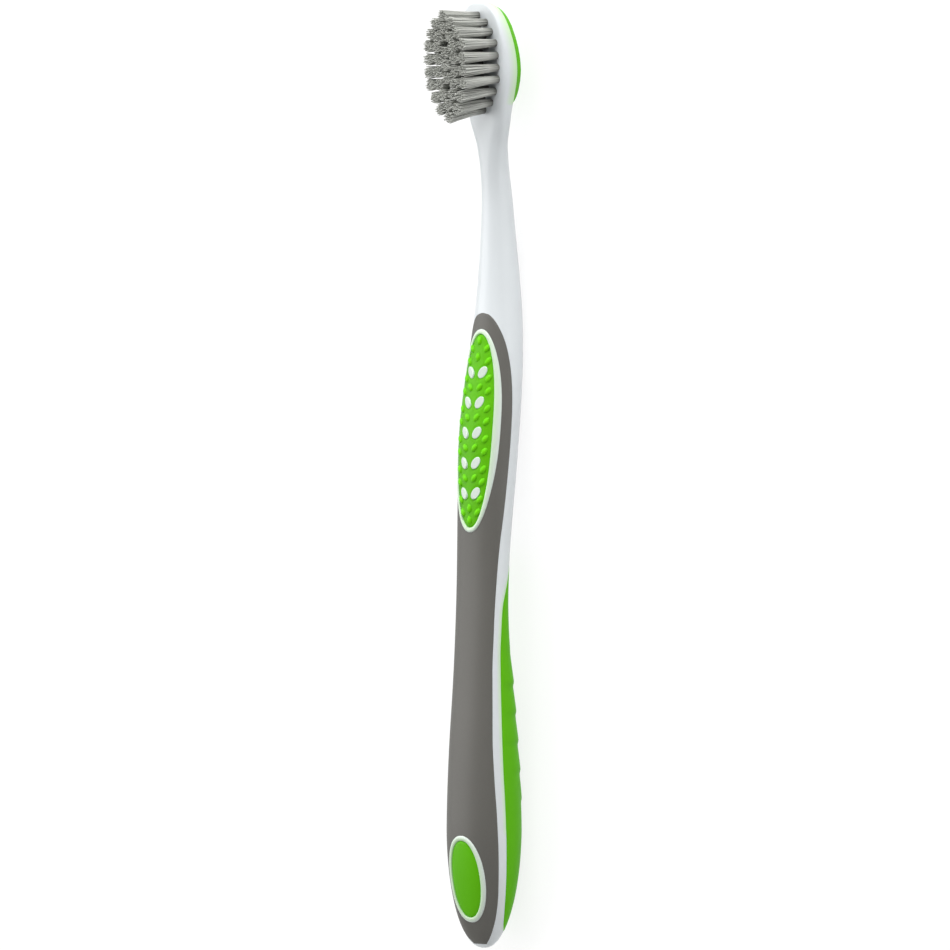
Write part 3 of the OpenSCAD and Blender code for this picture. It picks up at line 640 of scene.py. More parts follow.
def thick_sheet(stations, points, floor, top):
    """A grid laid along the stations, given its thickness by one extrusion.

    `floor` and `top` give a point from a station and a share from -1 to 1 across."""
    deselect()
    bpy.ops.mesh.primitive_grid_add(
        x_subdivisions=len(stations) - 1, y_subdivisions=points - 1, size=2, enter_editmode=True
    )
    mesh = bpy.context.object.data
    edit = bmesh.from_edit_mesh(mesh)
    for name in ("station", "across"):
        edit.verts.layers.float.new(name)
    station, across = (edit.verts.layers.float[name] for name in ("station", "across"))
    for vertex in edit.verts:
        column = round((vertex.co.x + 1) / 2 * (len(stations) - 1))
        vertex[station] = stations[column]
        vertex[across] = vertex.co.y
        vertex.co = floor(stations[column], vertex[across])
    bpy.ops.mesh.select_all(action="SELECT")
    bpy.ops.mesh.extrude_region_move()
    edit = bmesh.from_edit_mesh(mesh)
    station, across = (edit.verts.layers.float[name] for name in ("station", "across"))
    for vertex in edit.verts:
        if vertex.select:
            vertex.co = top(vertex[station], vertex[across])
    bmesh.update_edit_mesh(mesh)
    close_and_turn_out()
    return bpy.context.object


def finish_piece(piece, name, material, nodes, sharp=math.radians(35)):
    """Names a piece, gives it its finish and lets it stand for its nodes."""
    piece.name = piece.data.name = name
    piece.data.materials.clear()
    piece.data.materials.append(material)
    select_only(piece)
    bpy.ops.object.shade_smooth_by_angle(angle=sharp)
    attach(piece, "root")
    if nodes:
        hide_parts(*nodes)
    return piece


def flat_normals(piece):
    """Large flat faces keep their own shading beside rounded edges."""
    apply_modifier(piece, "WEIGHTED_NORMAL", keep_sharp=True, weight=80)


def core_point(shape, s, out, a):
    """Skin of the core, with the bristle face skimmed flat and its edge rounded."""
    point = shape.skin_point(s, out, a)
    over = shape.spine_z(s) + shape.half_d(s) - shape.face_at(s)
    if s > shape.root_at and over > 0:
        face = shape.face_at(s)
        apart = abs(point.z - face)
        soft = max(0, over - apart) / over
        point.z = min(point.z, face) - soft * soft * over / 4
    return point


def core_ring(shape, s, front_t, back_t):
    """Points round the core at a station, with its two recesses sunk by their depths."""
    layout = smooth([(FRONT_TO, 0), (shape.neck_at, 1)], s)
    front = between(shape.front_wrap(s), LAYOUT_TURN, layout)
    layout = smooth([(BACK_TO, 0), (between(BACK_TO, shape.neck_at, 1 / 2), 1)], s)
    back = between(shape.back_wrap(s), LAYOUT_TURN, layout)
    arcs = [
        (QUARTER - front, QUARTER + front, FRONT_POINTS, -front_t),
        (QUARTER + front, 3 * QUARTER - back, LAND_POINTS, 0),
        (3 * QUARTER - back, 3 * QUARTER + back, BACK_POINTS, -back_t),
        (3 * QUARTER + back, 5 * QUARTER - front, LAND_POINTS, 0),
    ]
    return [
        core_point(shape, s, out, between(start, end, k / (count - 1)))
        for start, end, count, out in arcs
        for k in range(count)
    ]


def core_body(shape):
    """Palm, thumb rest, neck and head, with the recesses that the grips lie in."""
    g = shape.grips
    rings = []
    for s in shape.core_stations():
        depths = [
            (g.front_t * (FRONT_FROM < at < FRONT_TO), g.back_t * (BACK_FROM < at < BACK_TO))
            for at in (s - RING_STEP, s + RING_STEP)
        ]
        if depths[0] == depths[1]:
            depths = depths[:1]
        rings += [core_ring(shape, s, *depth) for depth in depths]
    return loft(rings)


def oval(at, length, width, out, a):
    """Point on a pad's outline, `out` outside it: its station and its distance from the middle."""
    p = 2 / OVAL_POWER
    return (
        at + (length / 2 + out) * signed_power(math.cos(a), p),
        (width / 2 + out) * signed_power(math.sin(a), p),
    )


def outside_oval(s, y, at, length, width):
    """Distance of a point outside a pad's outline, negative inside it."""
    u, v = abs(s - at) / (length / 2), abs(y) / (width / 2)
    level = max(0.1, (u ** OVAL_POWER + v ** OVAL_POWER) ** (1 / OVAL_POWER))
    n = OVAL_POWER - 1
    slope = math.hypot((u / level) ** n / (length / 2), (v / level) ** n / (width / 2))
    return (level - 1) / slope


def green_glow(shape, point):
    """How much painted green light, shining through the core, tints it at a point beside the green
    mouldings.
    """
    s, y = point.x - BUTT_X, point.y
    side = math.copysign(1, y)
    glow = 0
    if BACK_FROM < s < BACK_TO:
        seam = shape.skin_point(s, 0, -QUARTER + side * shape.back_wrap(s))
        glow = 1 - (seam.yz - point.yz).length / SEAM_GLOW
    if s > CLEANER_FROM - CLEANER_LEAD and point.z < shape.face_at(s):
        edge = Vector((side * shape.half_w(s), shape.spine_z(s) - shape.half_d(s)))
        glow = CLEANER_GLOW * (1 - (edge - point.yz).length / CLEANER_GLOW_REACH)
    if point.z > shape.spine_z(s):
        for at, length, width in (THUMB, END):
            if abs(s - at) < length / 2 + 2 * shape.grips.rim_w:
                away = outside_oval(s, y, at, length, width)
                under = away < -RIM_GLOW_INSET
                glow = PIP_GLOW if under else 1 - away / (RIM_GLOW_REACH * shape.grips.rim_w)
    return min(1, max(0, glow))


def pad_rim(shape, at, length, width):
    """Half-round rim round a pad, standing on the floor of the recess."""
    g = shape.grips
    deselect()
    bpy.ops.mesh.primitive_torus_add(
        major_segments=OVAL_POINTS, minor_segments=RIM_SECTION_POINTS,
        major_radius=2, minor_radius=1,
    )
    rim = bpy.context.object
    for vertex in rim.data.vertices:
        major = math.atan2(vertex.co.y, vertex.co.x)
        across = math.hypot(vertex.co.x, vertex.co.y) - 2
        rise = vertex.co.z * g.rim_h
        if vertex.co.z < -0.01:
            across = signed_power(across, 0.4)
            rise = -g.front_t * min(1, abs(vertex.co.z) * 2)
        s, y = oval(at, length, width, g.rim_w / 2 * (1 + 0.96 * across), major)
        vertex.co = (BUTT_X + s, y, shape.front_z(s, y) + rise)
    return rim


def pip_stations(shape):
    g = shape.grips
    shift = g.pip_margin - g.pip_shift
    return even(THUMB_FROM + shift, THUMB_TO - g.pip_margin - g.pip_shift, g.pip_rows - 1)


def lay_on_pad(shape, piece, s, y, side, lean, sink):
    """Moves a small post's mesh to its place on the thumb pad, turned outward and leant."""
    foot = Vector((BUTT_X + s, y, shape.front_z(s, y) + shape.grips.pad_crown))
    turn = Matrix.Rotation(side * shape.grips.pip_turn, 4, "Z")
    place = Matrix.Translation(foot) @ Matrix.Rotation(-lean, 4, "X") @ turn
    piece.data.transform(place @ Matrix.Translation((0, 0, -sink)))


def own_copy(master, name):
    """A copy of an object with a mesh of its own."""
    copy = bpy.data.objects.new(name, master.data.copy())
    bpy.context.collection.objects.link(copy)
    return copy


def pips(shape):
    """Oval posts through the thumb pad: one is modelled, and the others are its copies."""
    g = shape.grips
    deselect()
    sink = g.front_t + g.pad_crown
    height = sink + g.pip_h
    bpy.ops.mesh.primitive_cylinder_add(
        vertices=40, radius=g.pip_w / 2, depth=height, location=(0, 0, height / 2),
        enter_editmode=True,
    )
    master = bpy.context.object
    bpy.ops.mesh.select_all(action="DESELECT")
    edit = bmesh.from_edit_mesh(master.data)
    for edge in edit.edges:
        edge.select_set(all(v.co.z > 0 for v in edge.verts))
    bmesh.update_edit_mesh(master.data)
    bpy.ops.mesh.bevel(offset=PIP_BEVEL, segments=4, profile=0.5)
    bpy.ops.object.mode_set(mode="OBJECT")
    bpy.ops.object.transform_apply(location=True, rotation=True, scale=True)
    master.data.transform(Matrix.Diagonal((g.pip_len / g.pip_w, 1, 1, 1)))
    posts = []
    for s in pip_stations(shape):
        for side in (-1, 1):
            post = own_copy(master, "pip")
            lay_on_pad(shape, post, s, side * g.pip_gauge / 2, side, side * g.pip_lean, sink)
            posts.append(post)
    bpy.data.objects.remove(master)
    return posts


def face_frame(shape):
    """Frame of the bristle face: its origin at the middle of the field, +Z out of the face."""
    origin = Vector((BUTT_X + shape.field_at, 0, shape.face_z))
    return Matrix.Translation(origin) @ Matrix.Rotation(-shape.head.face_tilt, 4, "Y")


def tuft_places(shape):
    """Middle of each tuft on the bristle face, in the order of the tufts' names."""
    half_len, half_w = shape.bristles.field_len / 2, shape.bristles.field_w / 2
    places = [(share * half_len, 0) for share in SPINE_TUFT_SHARES]
    for along, across in SIDE_TUFT_SHARES:
        places += [(along * half_len, side * across * half_w) for side in (-1, 1)]
    return places


def tuft_holes(shape):
    """Drills for the tuft holes: one cylinder for each tuft, joined into one object."""
    b = shape.bristles
    drills = []
    for x, y in tuft_places(shape):
        deselect()
        bpy.ops.mesh.primitive_cylinder_add(
            vertices=24, radius=b.hole_d / 2, depth=2 * b.hole_depth
        )
        drill = bpy.context.object
        drill.data.transform(face_frame(shape) @ Matrix.Translation((x, y, 0)))
        drills.append(drill)
    select_only(*drills)
    bpy.ops.object.join()
    return bpy.context.object


class BRUSH_OT_core(Operator):
    """Model the hard core: palm, thumb rest, neck, head, rims and pips"""

    bl_idname = "brush.core"
    bl_label = "Hard core"

    def execute(self, context):
        shape = Shape(context.scene)
        core = core_body(shape)
        cut(core, tuft_holes(shape))
        select_only(core, pad_rim(shape, *THUMB), pad_rim(shape, *END), *pips(shape))
        bpy.ops.object.join()
        # Painted light: green shining through the thin white plastic beside the green mouldings
        glow = core.data.attributes.new("green_glow", "FLOAT", "POINT")
        for vertex in core.data.vertices:
            glow.data[vertex.index].value = green_glow(shape, vertex.co)
        white = core_plastic(context.scene)
        finish_piece(core, "core_moulding", white, ["handle_core"])
        flat_normals(core)
        return {"FINISHED"}


def oval_drill(shape, at, length, width):
    """Closed prism that cuts a grip's window for a pad and its rim."""
    g = shape.grips
    points = [
        oval(at, length, width, g.rim_w, 4 * QUARTER * k / OVAL_POINTS)
        for k in range(OVAL_POINTS)
    ]
    low, high = shape.palm_z, shape.palm_z + shape.handle.palm_t
    return loft([[Vector((BUTT_X + s, y, z)) for s, y in points] for z in (low, high)])


def cluster(v):
    """Spreads even steps across a grip so that they tighten toward its seams."""
    return math.copysign(1 - (1 - abs(v)) ** EDGE_CLUSTER, v)


class BRUSH_OT_front_grip(Operator):
    """Model the grey grip on the front, with its windows for the two pads"""

    bl_idname = "brush.front_grip"
    bl_label = "Front grip"

    def execute(self, context):
        shape = Shape(context.scene)
        g = shape.grips
        edge = [FRONT_FROM + share * g.edge for share in EDGE_SHARES]
        stations = edge + [
            s for s in shape.core_stations() if edge[-1] + EDGE_CLEAR < s <= FRONT_TO
        ]

        def floor(s, v):
            return shape.skin_point(s, -g.front_t, QUARTER - cluster(v) * shape.front_wrap(s))

        def top(s, v):
            v = cluster(v)
            distance = shape.seam_distance(s, shape.front_wrap, v, FRONT_FROM)
            rise = edge_rise(distance, g.edge, g.proud, g.sink)
            return shape.skin_point(s, rise, QUARTER - v * shape.front_wrap(s))

        grip = thick_sheet(stations, GRIP_POINTS, floor, top)
        for pad in (THUMB, END):
            cut(grip, oval_drill(shape, *pad))
        grey = grey_elastomer(context.scene)
        finish_piece(grip, "front_grip_skin", grey, ["front_grip"])
        return {"FINISHED"}


class BRUSH_OT_back_grip(Operator):
    """Model the green grip on the back, with its ribs"""

    bl_idname = "brush.back_grip"
    bl_label = "Back grip"

    def execute(self, context):
        shape = Shape(context.scene)
        g = shape.grips
        edge = [BACK_FROM + share * g.edge for share in EDGE_SHARES]
        ribs_from = g.rib_at - 2 * g.rib_flank
        ribs_to = g.rib_at + g.rib_pitch * g.rib_count
        others = [
            s for s in shape.core_stations()
            if edge[-1] + EDGE_CLEAR < s < ribs_from or ribs_to < s <= BACK_TO
        ]
        stations = sorted(edge + others + even(ribs_from, ribs_to, RIB_STEPS * g.rib_count))

        def floor(s, v):
            return shape.skin_point(s, -g.back_t, -QUARTER - cluster(v) * shape.back_wrap(s))

        def top(s, v):
            v = cluster(v)
            distance = shape.seam_distance(s, shape.back_wrap, v, BACK_FROM)
            rise = edge_rise(distance, g.edge, g.proud, g.sink)
            rise += shape.soft_rib_rise(s) * shape.rib_reach(s, v)
            point = shape.skin_point(s, rise, -QUARTER - v * shape.back_wrap(s))
            point.z = max(point.z, 0)
            return point

        grip = thick_sheet(stations, GRIP_POINTS, floor, top)
        green = green_elastomer(context.scene)
        finish_piece(grip, "back_grip_skin", green, ["back_grip"])
        return {"FINISHED"}


def oval_half_width(s, at, length, width):
    return width / 2 * max(END_SHARE, arch(abs(s - at) / (length / 2), OVAL_POWER))


def pad_sheet(shape, pad, steps, points, extra):
    """A soft pad in its rim; `extra` adds to the height of its top."""
    g = shape.grips
    at, length, width = pad
    length, width = length - 2 * PAD_GAP, width - 2 * PAD_GAP

    def floor(s, v):
        y = v * oval_half_width(s, at, length, width)
        return Vector((BUTT_X + s, y, shape.front_z(s, y) - g.front_t))

    def top(s, v):
        half = oval_half_width(s, at, length, width)
        y = v * half
        to_end = length / 2 - abs(s - at)
        slope = half / max(to_end, MM / 10)
        distance = min((1 - abs(v)) * half / math.sqrt(1 + slope * slope), to_end)
        rise = edge_rise(distance, g.edge, 0, g.sink)
        rise += g.pad_crown * (1 - v * v) * min(1, to_end / g.edge)
        return Vector((BUTT_X + s, y, shape.front_z(s, y) + rise + extra(s, y)))

    return thick_sheet(tight_both(at - length / 2, at + length / 2, steps), points, floor, top)


def pad_half_width(s):
    return oval_half_width(s, *THUMB)


def nub_places(shape):
    """Places and sides of the nubs: between the pips, along the pad's edges and at its ends."""
    g = shape.grips
    rows = pip_stations(shape)
    pitch = rows[1] - rows[0]
    places = []
    for side in (-1, 1):
        places += [(s + pitch / 2, side * g.nub_gauge / 2, side) for s in rows[:-1]]
        outer = [
            rows[0] + (k - share) * pitch for k in range(g.pip_rows + 1) for share in NUB_SHARES
        ]
        for s in outer:
            half = pad_half_width(s)
            if half > g.nub_len + g.nub_h:
                places.append((s, side * NUB_SIDE_SHARE * half, side))
    end = g.nub_len * 3 / 4
    middles = (rows[0] - pitch / 2, rows[-1] + pitch / 2, THUMB_FROM + end, THUMB_TO - end)
    return places + [(s, 0, 0) for s in middles]


def nubs(shape):
    """Soft oval nubs on the thumb pad: one is modelled, and the others are its copies."""
    g = shape.grips
    deselect()
    bpy.ops.mesh.primitive_uv_sphere_add(segments=24, ring_count=12, radius=MM)
    master = bpy.context.object
    sink = NUB_SINK
    size = (g.nub_len / 2 / MM, g.nub_w / 2 / MM, (g.nub_h + sink) / MM, 1)
    master.data.transform(Matrix.Diagonal(size))
    # Painted highlight: the top of each nub is lightened in its colour, more the higher it stands
    top_highlight = master.data.attributes.new("nub_top_highlight", "FLOAT", "POINT")
    for vertex in master.data.vertices:
        top_highlight.data[vertex.index].value = max(0, vertex.co.z / (g.nub_h + sink))
    domes = []
    for s, y, side in nub_places(shape):
        dome = own_copy(master, "nub")
        step = g.nub_w / 4
        lean = math.atan2(pad_top(shape, s, y - step) - pad_top(shape, s, y + step), 2 * step)
        drop = shape.front_z(s, y) + g.pad_crown - pad_top(shape, s, y)
        lay_on_pad(shape, dome, s, y, side, lean, sink + drop)
        domes.append(dome)
    bpy.data.objects.remove(master)
    return domes


def pad_top(shape, s, y):
    """Height of the thumb pad's top between its nubs."""
    share = y / pad_half_width(s)
    return shape.front_z(s, y) + shape.grips.pad_crown * (1 - share * share)


class BRUSH_OT_thumb_pad(Operator):
    """Model the green thumb pad with its soft nubs"""

    bl_idname = "brush.thumb_pad"
    bl_label = "Thumb pad"

    def execute(self, context):
        shape = Shape(context.scene)
        g = shape.grips
        posts = [(s, side) for s in pip_stations(shape) for side in (-1, 1)]

        def extra(s, y):
            rise = 0
            for at, side in posts:
                along, across = s - at, y - side * g.pip_gauge / 2
                turn = side * g.pip_turn
                u = along * math.cos(turn) + across * math.sin(turn)
                v = across * math.cos(turn) - along * math.sin(turn)
                away = (math.hypot(2 * u / g.pip_len, 2 * v / g.pip_w) - 1) * g.pip_w / 2
                rise -= MOAT_DEPTH * max(0, 1 - abs(away - MOAT_OUT) / MOAT_W)
            return rise

        pad = pad_sheet(shape, THUMB, *THUMB_GRID, extra)
        select_only(pad, *nubs(shape))
        bpy.ops.object.join()
        green = green_elastomer(context.scene)
        finish_piece(pad, "thumb_pad_skin", green, ["thumb_pad"])
        return {"FINISHED"}


class BRUSH_OT_end_pad(Operator):
    """Model the plain green pad near the butt end"""

    bl_idname = "brush.end_pad"
    bl_label = "End pad"

    def execute(self, context):
        shape = Shape(context.scene)
        pad = pad_sheet(shape, END, *END_GRID, lambda s, y: 0)
        green = green_elastomer(context.scene)
        finish_piece(pad, "end_pad_skin", green, ["end_pad"])
        return {"FINISHED"}


class BRUSH_OT_cleaner(Operator):
    """Model the ridged tongue cleaner on the back of the head"""

    bl_idname = "brush.cleaner"
    bl_label = "Tongue cleaner"

    def execute(self, context):
        shape = Shape(context.scene)
        d, g = shape.head, shape.grips
        middle = (CLEANER_FROM + CLEANER_TO) / 2
        start, end = CLEANER_FROM - CLEANER_LEAD, BRUSH_LEN - d.cleaner_edge
        ridges = [
            middle + (k - (d.ridge_count - 1) / 2) * d.ridge_pitch for k in range(d.ridge_count)
        ]

        def half(s):
            inner = max(END_SHARE, arch((middle - s) / (middle - start), CLEANER_POWER))
            outer = max(END_SHARE, arch((s - middle) / (end - middle), CLEANER_POWER))
            return (shape.half_w(s) - d.cleaner_edge) * inner * outer

        def place(s, v, rise):
            y = v * half(s)
            return Vector((BUTT_X + s, y, shape.back_z(s, y) - rise))

        def floor(s, v):
            return place(s, v, 0)

        def top(s, v):
            to_end = min(s - start, end - s)
            slope = half(s) / max(to_end, MM / 10)
            distance = min((1 - abs(v)) * half(s) / math.sqrt(1 + slope * slope), to_end)
            rise = edge_rise(distance, g.edge, d.cleaner_out, 0)
            for at in ridges:
                t = abs(s - at) / (d.ridge_w / 2)
                if t < 1:
                    rise += d.ridge_h * math.cos(QUARTER * t) ** 2 * (1 - v * v)
            return place(s, v, rise)

        steps, points = CLEANER_GRID
        cleaner = thick_sheet(tight_both(start, end, steps), points, floor, top)
        green = green_elastomer(context.scene)
        finish_piece(cleaner, "tongue_cleaner_skin", green, ["tongue_cleaner"])
        return {"FINISHED"}


def filament_spots(count):
    """Evenly spread places in a disc of radius 1, in a spiral of equal shares."""
    golden = 4 * QUARTER * (2 - (1 + math.sqrt(5)) / 2)
    reaches = [math.sqrt((k + 0.5) / count) for k in range(count)]
    return [
        (reach * math.cos(golden * k), reach * math.sin(golden * k))
        for k, reach in enumerate(reaches)
    ]


def master_filament(shape):
    """One round-tipped filament of unit height, with a ring at each share of it."""
    b = shape.bristles
    deselect()
    bpy.ops.mesh.primitive_circle_add(
        vertices=6, radius=b.filament_d / 2, fill_type="NGON", enter_editmode=True
    )
    filament = bpy.context.object
    mesh = filament.data
    for share, size in ((0.35, 1), (0.75, 1), (0.985, 1), (1, 0.55)):
        bpy.ops.mesh.extrude_region_move()
        edit = bmesh.from_edit_mesh(mesh)
        for vertex in [v for v in edit.verts if v.select]:
            reach = math.hypot(vertex.co.x, vertex.co.y)
            vertex.co *= size * b.filament_d / 2 / reach if reach else 1
            vertex.co.z = share
    close_and_turn_out(merge=0.0001 * MM)
    return filament


class BRUSH_OT_bristles(Operator):
    """Model the filaments of each tuft"""

    bl_idname = "brush.bristles"
    bl_label = "Bristles"

    def execute(self, context):
        shape = Shape(context.scene)
        b = shape.bristles
        rng = random.Random(TRIM_SEED)
        to_face = face_frame(shape)
        nylon = bristle_nylon(context.scene)
        master = master_filament(shape)
        corners = [v.co.copy() for v in master.data.vertices]
        root_r = b.hole_d / 2 - b.filament_d / 2
        for (x, y), node in zip(tuft_places(shape), TUFTS):
            copies = []
            trim = b.height - rng.uniform(0, TUFT_TRIM) * MM
            lean = Vector((x * (TIP_LEAN if x > 0 else BUTT_LEAN), y * SIDE_LEAN))
            inner = math.hypot(x / b.field_len, y / b.field_w) < INNER_FIELD
            for spot_x, spot_y in filament_spots(b.filaments):
                root = Vector((spot_x, spot_y)) * root_r
                drift = Vector((rng.uniform(-1, 1), rng.uniform(-1, 1))) * TIP_DRIFT * MM
                tip = root * (1 + b.flare) + lean + drift
                bow = Vector((rng.uniform(-1, 1), rng.uniform(-1, 1))) * FILAMENT_BOW * MM
                top = trim - rng.uniform(0, FILAMENT_TRIM) * MM
                tone = rng.random()
                copy = own_copy(master, "filament")
                tones = copy.data.attributes.new("filament_tone", "FLOAT", "POINT")
                root_shades = copy.data.attributes.new("filament_root_shade", "FLOAT", "POINT")
                for vertex, corner in zip(copy.data.vertices, corners):
                    t = corner.z
                    way = root.lerp(tip, t ** SPREAD_POWER) + bow * math.sin(2 * QUARTER * t)
                    up = between(-TUFT_SEAT, top, t)
                    place = Vector((x + way.x + corner.x, y + way.y + corner.y, up))
                    vertex.co = to_face @ place
                    tones.data[vertex.index].value = tone
                    # This value runs the painted shade toward the root, held low for the inner
                    # tufts
                    root_shades.data[vertex.index].value = t * (INNER_LIGHT if inner else 1)
                copies.append(copy)
            select_only(*copies)
            bpy.ops.object.join()
            tuft = bpy.context.object
            name = node + "_filaments"
            finish_piece(tuft, name, nylon, [node], math.radians(75))
        bpy.data.objects.remove(master)
        return {"FINISHED"}


def feed(tree, node, feeds):
    """Gives a node's inputs their values, or sockets to follow."""
    for key, given in feeds.items():
        if isinstance(given, bpy.types.NodeSocket):
            tree.links.new(given, node.inputs[key])
        else:
            node.inputs[key].default_value = given


def add_node(tree, kind, at, feeds=None, **values):
    """A node with settings by name; `feeds` gives some inputs a value, or a socket to follow."""
    node = tree.nodes.new(kind)
    node.location = at
    for key, value in values.items():
        if key in node.inputs:
            node.inputs[key].default_value = value
        else:
            setattr(node, key, value)
    feed(tree, node, feeds or {})
    return node


def mix_colours(tree, at, factor, a, b, **values):
    """The colour between two others; the Mix node's colour sockets share their names."""
    feeds = {MIX_FACTOR: factor, MIX_A: a, MIX_B: b}
    node = add_node(tree, "ShaderNodeMix", at, feeds, data_type="RGBA", **values)
    return node.outputs[MIX_RESULT]


def calculate(tree, at, operation, a, b, **values):
    node = add_node(tree, "ShaderNodeMath", at, {0: a, 1: b}, operation=operation, **values)
    return node.outputs[0]


def map_to(tree, at, value, low, high):
    feeds = {"To Min": low, "To Max": high, "Value": value}
    return add_node(tree, "ShaderNodeMapRange", at, feeds).outputs["Result"]


def attribute(tree, at, name):
    return add_node(tree, "ShaderNodeAttribute", at, attribute_name=name).outputs["Fac"]


def opaque(colour):
    return *colour, 1


def moulded_surface():
    """Node group: tone, roughness and grain that a moulding picks up from its tool."""
    name = "Moulded surface"
    if name in bpy.data.node_groups:
        return bpy.data.node_groups[name]
    tree = bpy.data.node_groups.new(name, "ShaderNodeTree")
    sockets = [
        ("Colour", "INPUT", "NodeSocketColor", (0.8, 0.8, 0.8, 1)),
        ("Deep colour", "INPUT", "NodeSocketColor", (0.6, 0.6, 0.6, 1)),
        ("Cloud scale", "INPUT", "NodeSocketFloat", 60),
        ("Cloud share", "INPUT", "NodeSocketFloat", 0.2),
        ("Grain scale", "INPUT", "NodeSocketFloat", 3000),
        ("Speckle share", "INPUT", "NodeSocketFloat", 0.1),
        ("Smooth roughness", "INPUT", "NodeSocketFloat", 0.3),
        ("Rough roughness", "INPUT", "NodeSocketFloat", 0.4),
        ("Colour", "OUTPUT", "NodeSocketColor", None),
        ("Roughness", "OUTPUT", "NodeSocketFloat", None),
        ("Height", "OUTPUT", "NodeSocketFloat", None),
    ]
    for label, way, kind, value in sockets:
        socket = tree.interface.new_socket(name=label, in_out=way, socket_type=kind)
        if value is not None:
            socket.default_value = value
    given = add_node(tree, "NodeGroupInput", (-900, 0)).outputs
    place = add_node(tree, "ShaderNodeTexCoord", (-900, 300)).outputs["Object"]

    def noise(height, scale, **values):
        feeds = {"Vector": place, "Scale": given[scale]}
        return add_node(tree, "ShaderNodeTexNoise", (-600, height), feeds, **values).outputs["Fac"]

    cloud = noise(300, "Cloud scale", Detail=3.0, Roughness=0.55)
    grain = noise(0, "Grain scale", Detail=2.0, Roughness=0.6)
    cloudy = calculate(tree, (-350, 300), "MULTIPLY", cloud, given["Cloud share"])
    speckled = calculate(tree, (-350, 100), "MULTIPLY", grain, given["Speckle share"])
    mask = calculate(tree, (-150, 200), "ADD", cloudy, speckled, use_clamp=True)
    tint = mix_colours(tree, (100, 250), mask, given["Colour"], given["Deep colour"])
    rough = {0: grain, 2: given["Smooth roughness"], 3: given["Rough roughness"]}
    gloss = add_node(tree, "ShaderNodeMix", (100, 0), rough, data_type="FLOAT").outputs[0]
    result = {"Colour": tint, "Roughness": gloss, "Height": grain}
    add_node(tree, "NodeGroupOutput", (700, 0), result)
    return tree


def new_material(name):
    """A fresh node material with its shader: the material, its tree and the shader."""
    material = bpy.data.materials.new(name)
    material.use_nodes = True
    return material, material.node_tree, material.node_tree.nodes["Principled BSDF"]


def moulded_material(name, colour, deep, bump, values, shader_values):
    """A moulding's material: the shared surface group, a fine bump and the shader."""
    if name in bpy.data.materials:
        return bpy.data.materials[name]
    material, tree, shader = new_material(name)
    surface = add_node(tree, "ShaderNodeGroup", (-600, 0), node_tree=moulded_surface())
    feed(tree, surface, {"Colour": opaque(colour), "Deep colour": opaque(deep), **values})
    relief = add_node(
        tree, "ShaderNodeBump", (-300, -200), {"Height": surface.outputs["Height"]},
        Strength=bump, Distance=0.02 * MM,
    )
    feed(tree, shader, {
        "Normal": relief.outputs["Normal"], "Base Color": surface.outputs["Colour"],
        "Roughness": surface.outputs["Roughness"], **shader_values,
    })
    return material


def shade_of(colour, share):
    return [value * share for value in colour]


def tint_where(material, name, colour):
    """Lays a second colour over a material, as far as an attribute of its piece says."""
    tree = material.node_tree
    base = tree.nodes["Principled BSDF"].inputs["Base Color"]
    plain = base.links[0].from_socket
    mask = attribute(tree, (-600, 300), name)
    tree.links.new(mix_colours(tree, (-300, 200), mask, plain, opaque(colour)), base)


def core_plastic(scene):
    """White moulded plastic: glossy, with a faint cloud, and painted green light where a grip
    shines through.
    """
    colour = scene.brush_colours.core
    material = moulded_material(
        "Core plastic", colour, shade_of(colour, 0.93), 0.012,
        {
            "Cloud scale": 45, "Cloud share": 0.25, "Grain scale": 1500, "Speckle share": 0.05,
            "Smooth roughness": 0.28, "Rough roughness": 0.35,
        },
        {"IOR": 1.49},
    )
    # Painted green light over the white, where the green_glow attribute says
    tint_where(material, "green_glow", scene.brush_colours.glow)
    return material


def green_elastomer(scene):
    """Green soft plastic: satin, with a fine matt grain, and a painted highlight that lightens the
    tops of the nubs.
    """
    name = "Green elastomer"
    if name in bpy.data.materials:
        return bpy.data.materials[name]
    colour = scene.brush_colours.green
    material = moulded_material(
        name, colour, shade_of(colour, 0.72), 0.35,
        {
            "Cloud scale": 90, "Cloud share": 0.3, "Grain scale": 4200, "Speckle share": 0.3,
            "Smooth roughness": 0.38, "Rough roughness": 0.58,
        },
        {"IOR": 1.5, "Specular IOR Level": 0.16},
    )
    # Painted highlight on the tops of the nubs, laid over the green
    tint_where(material, "nub_top_highlight", shade_of(colour, 1.35))
    return material


def grey_elastomer(scene):
    """Warm grey soft plastic: matt, with a fine grain."""
    colour = scene.brush_colours.grey
    return moulded_material(
        "Grey elastomer", colour, shade_of(colour, 0.72), 0.4,
        {
            "Cloud scale": 70, "Cloud share": 0.3, "Grain scale": 4200, "Speckle share": 0.35,
            "Smooth roughness": 0.42, "Rough roughness": 0.62,
        },
        {"IOR": 1.5},
    )


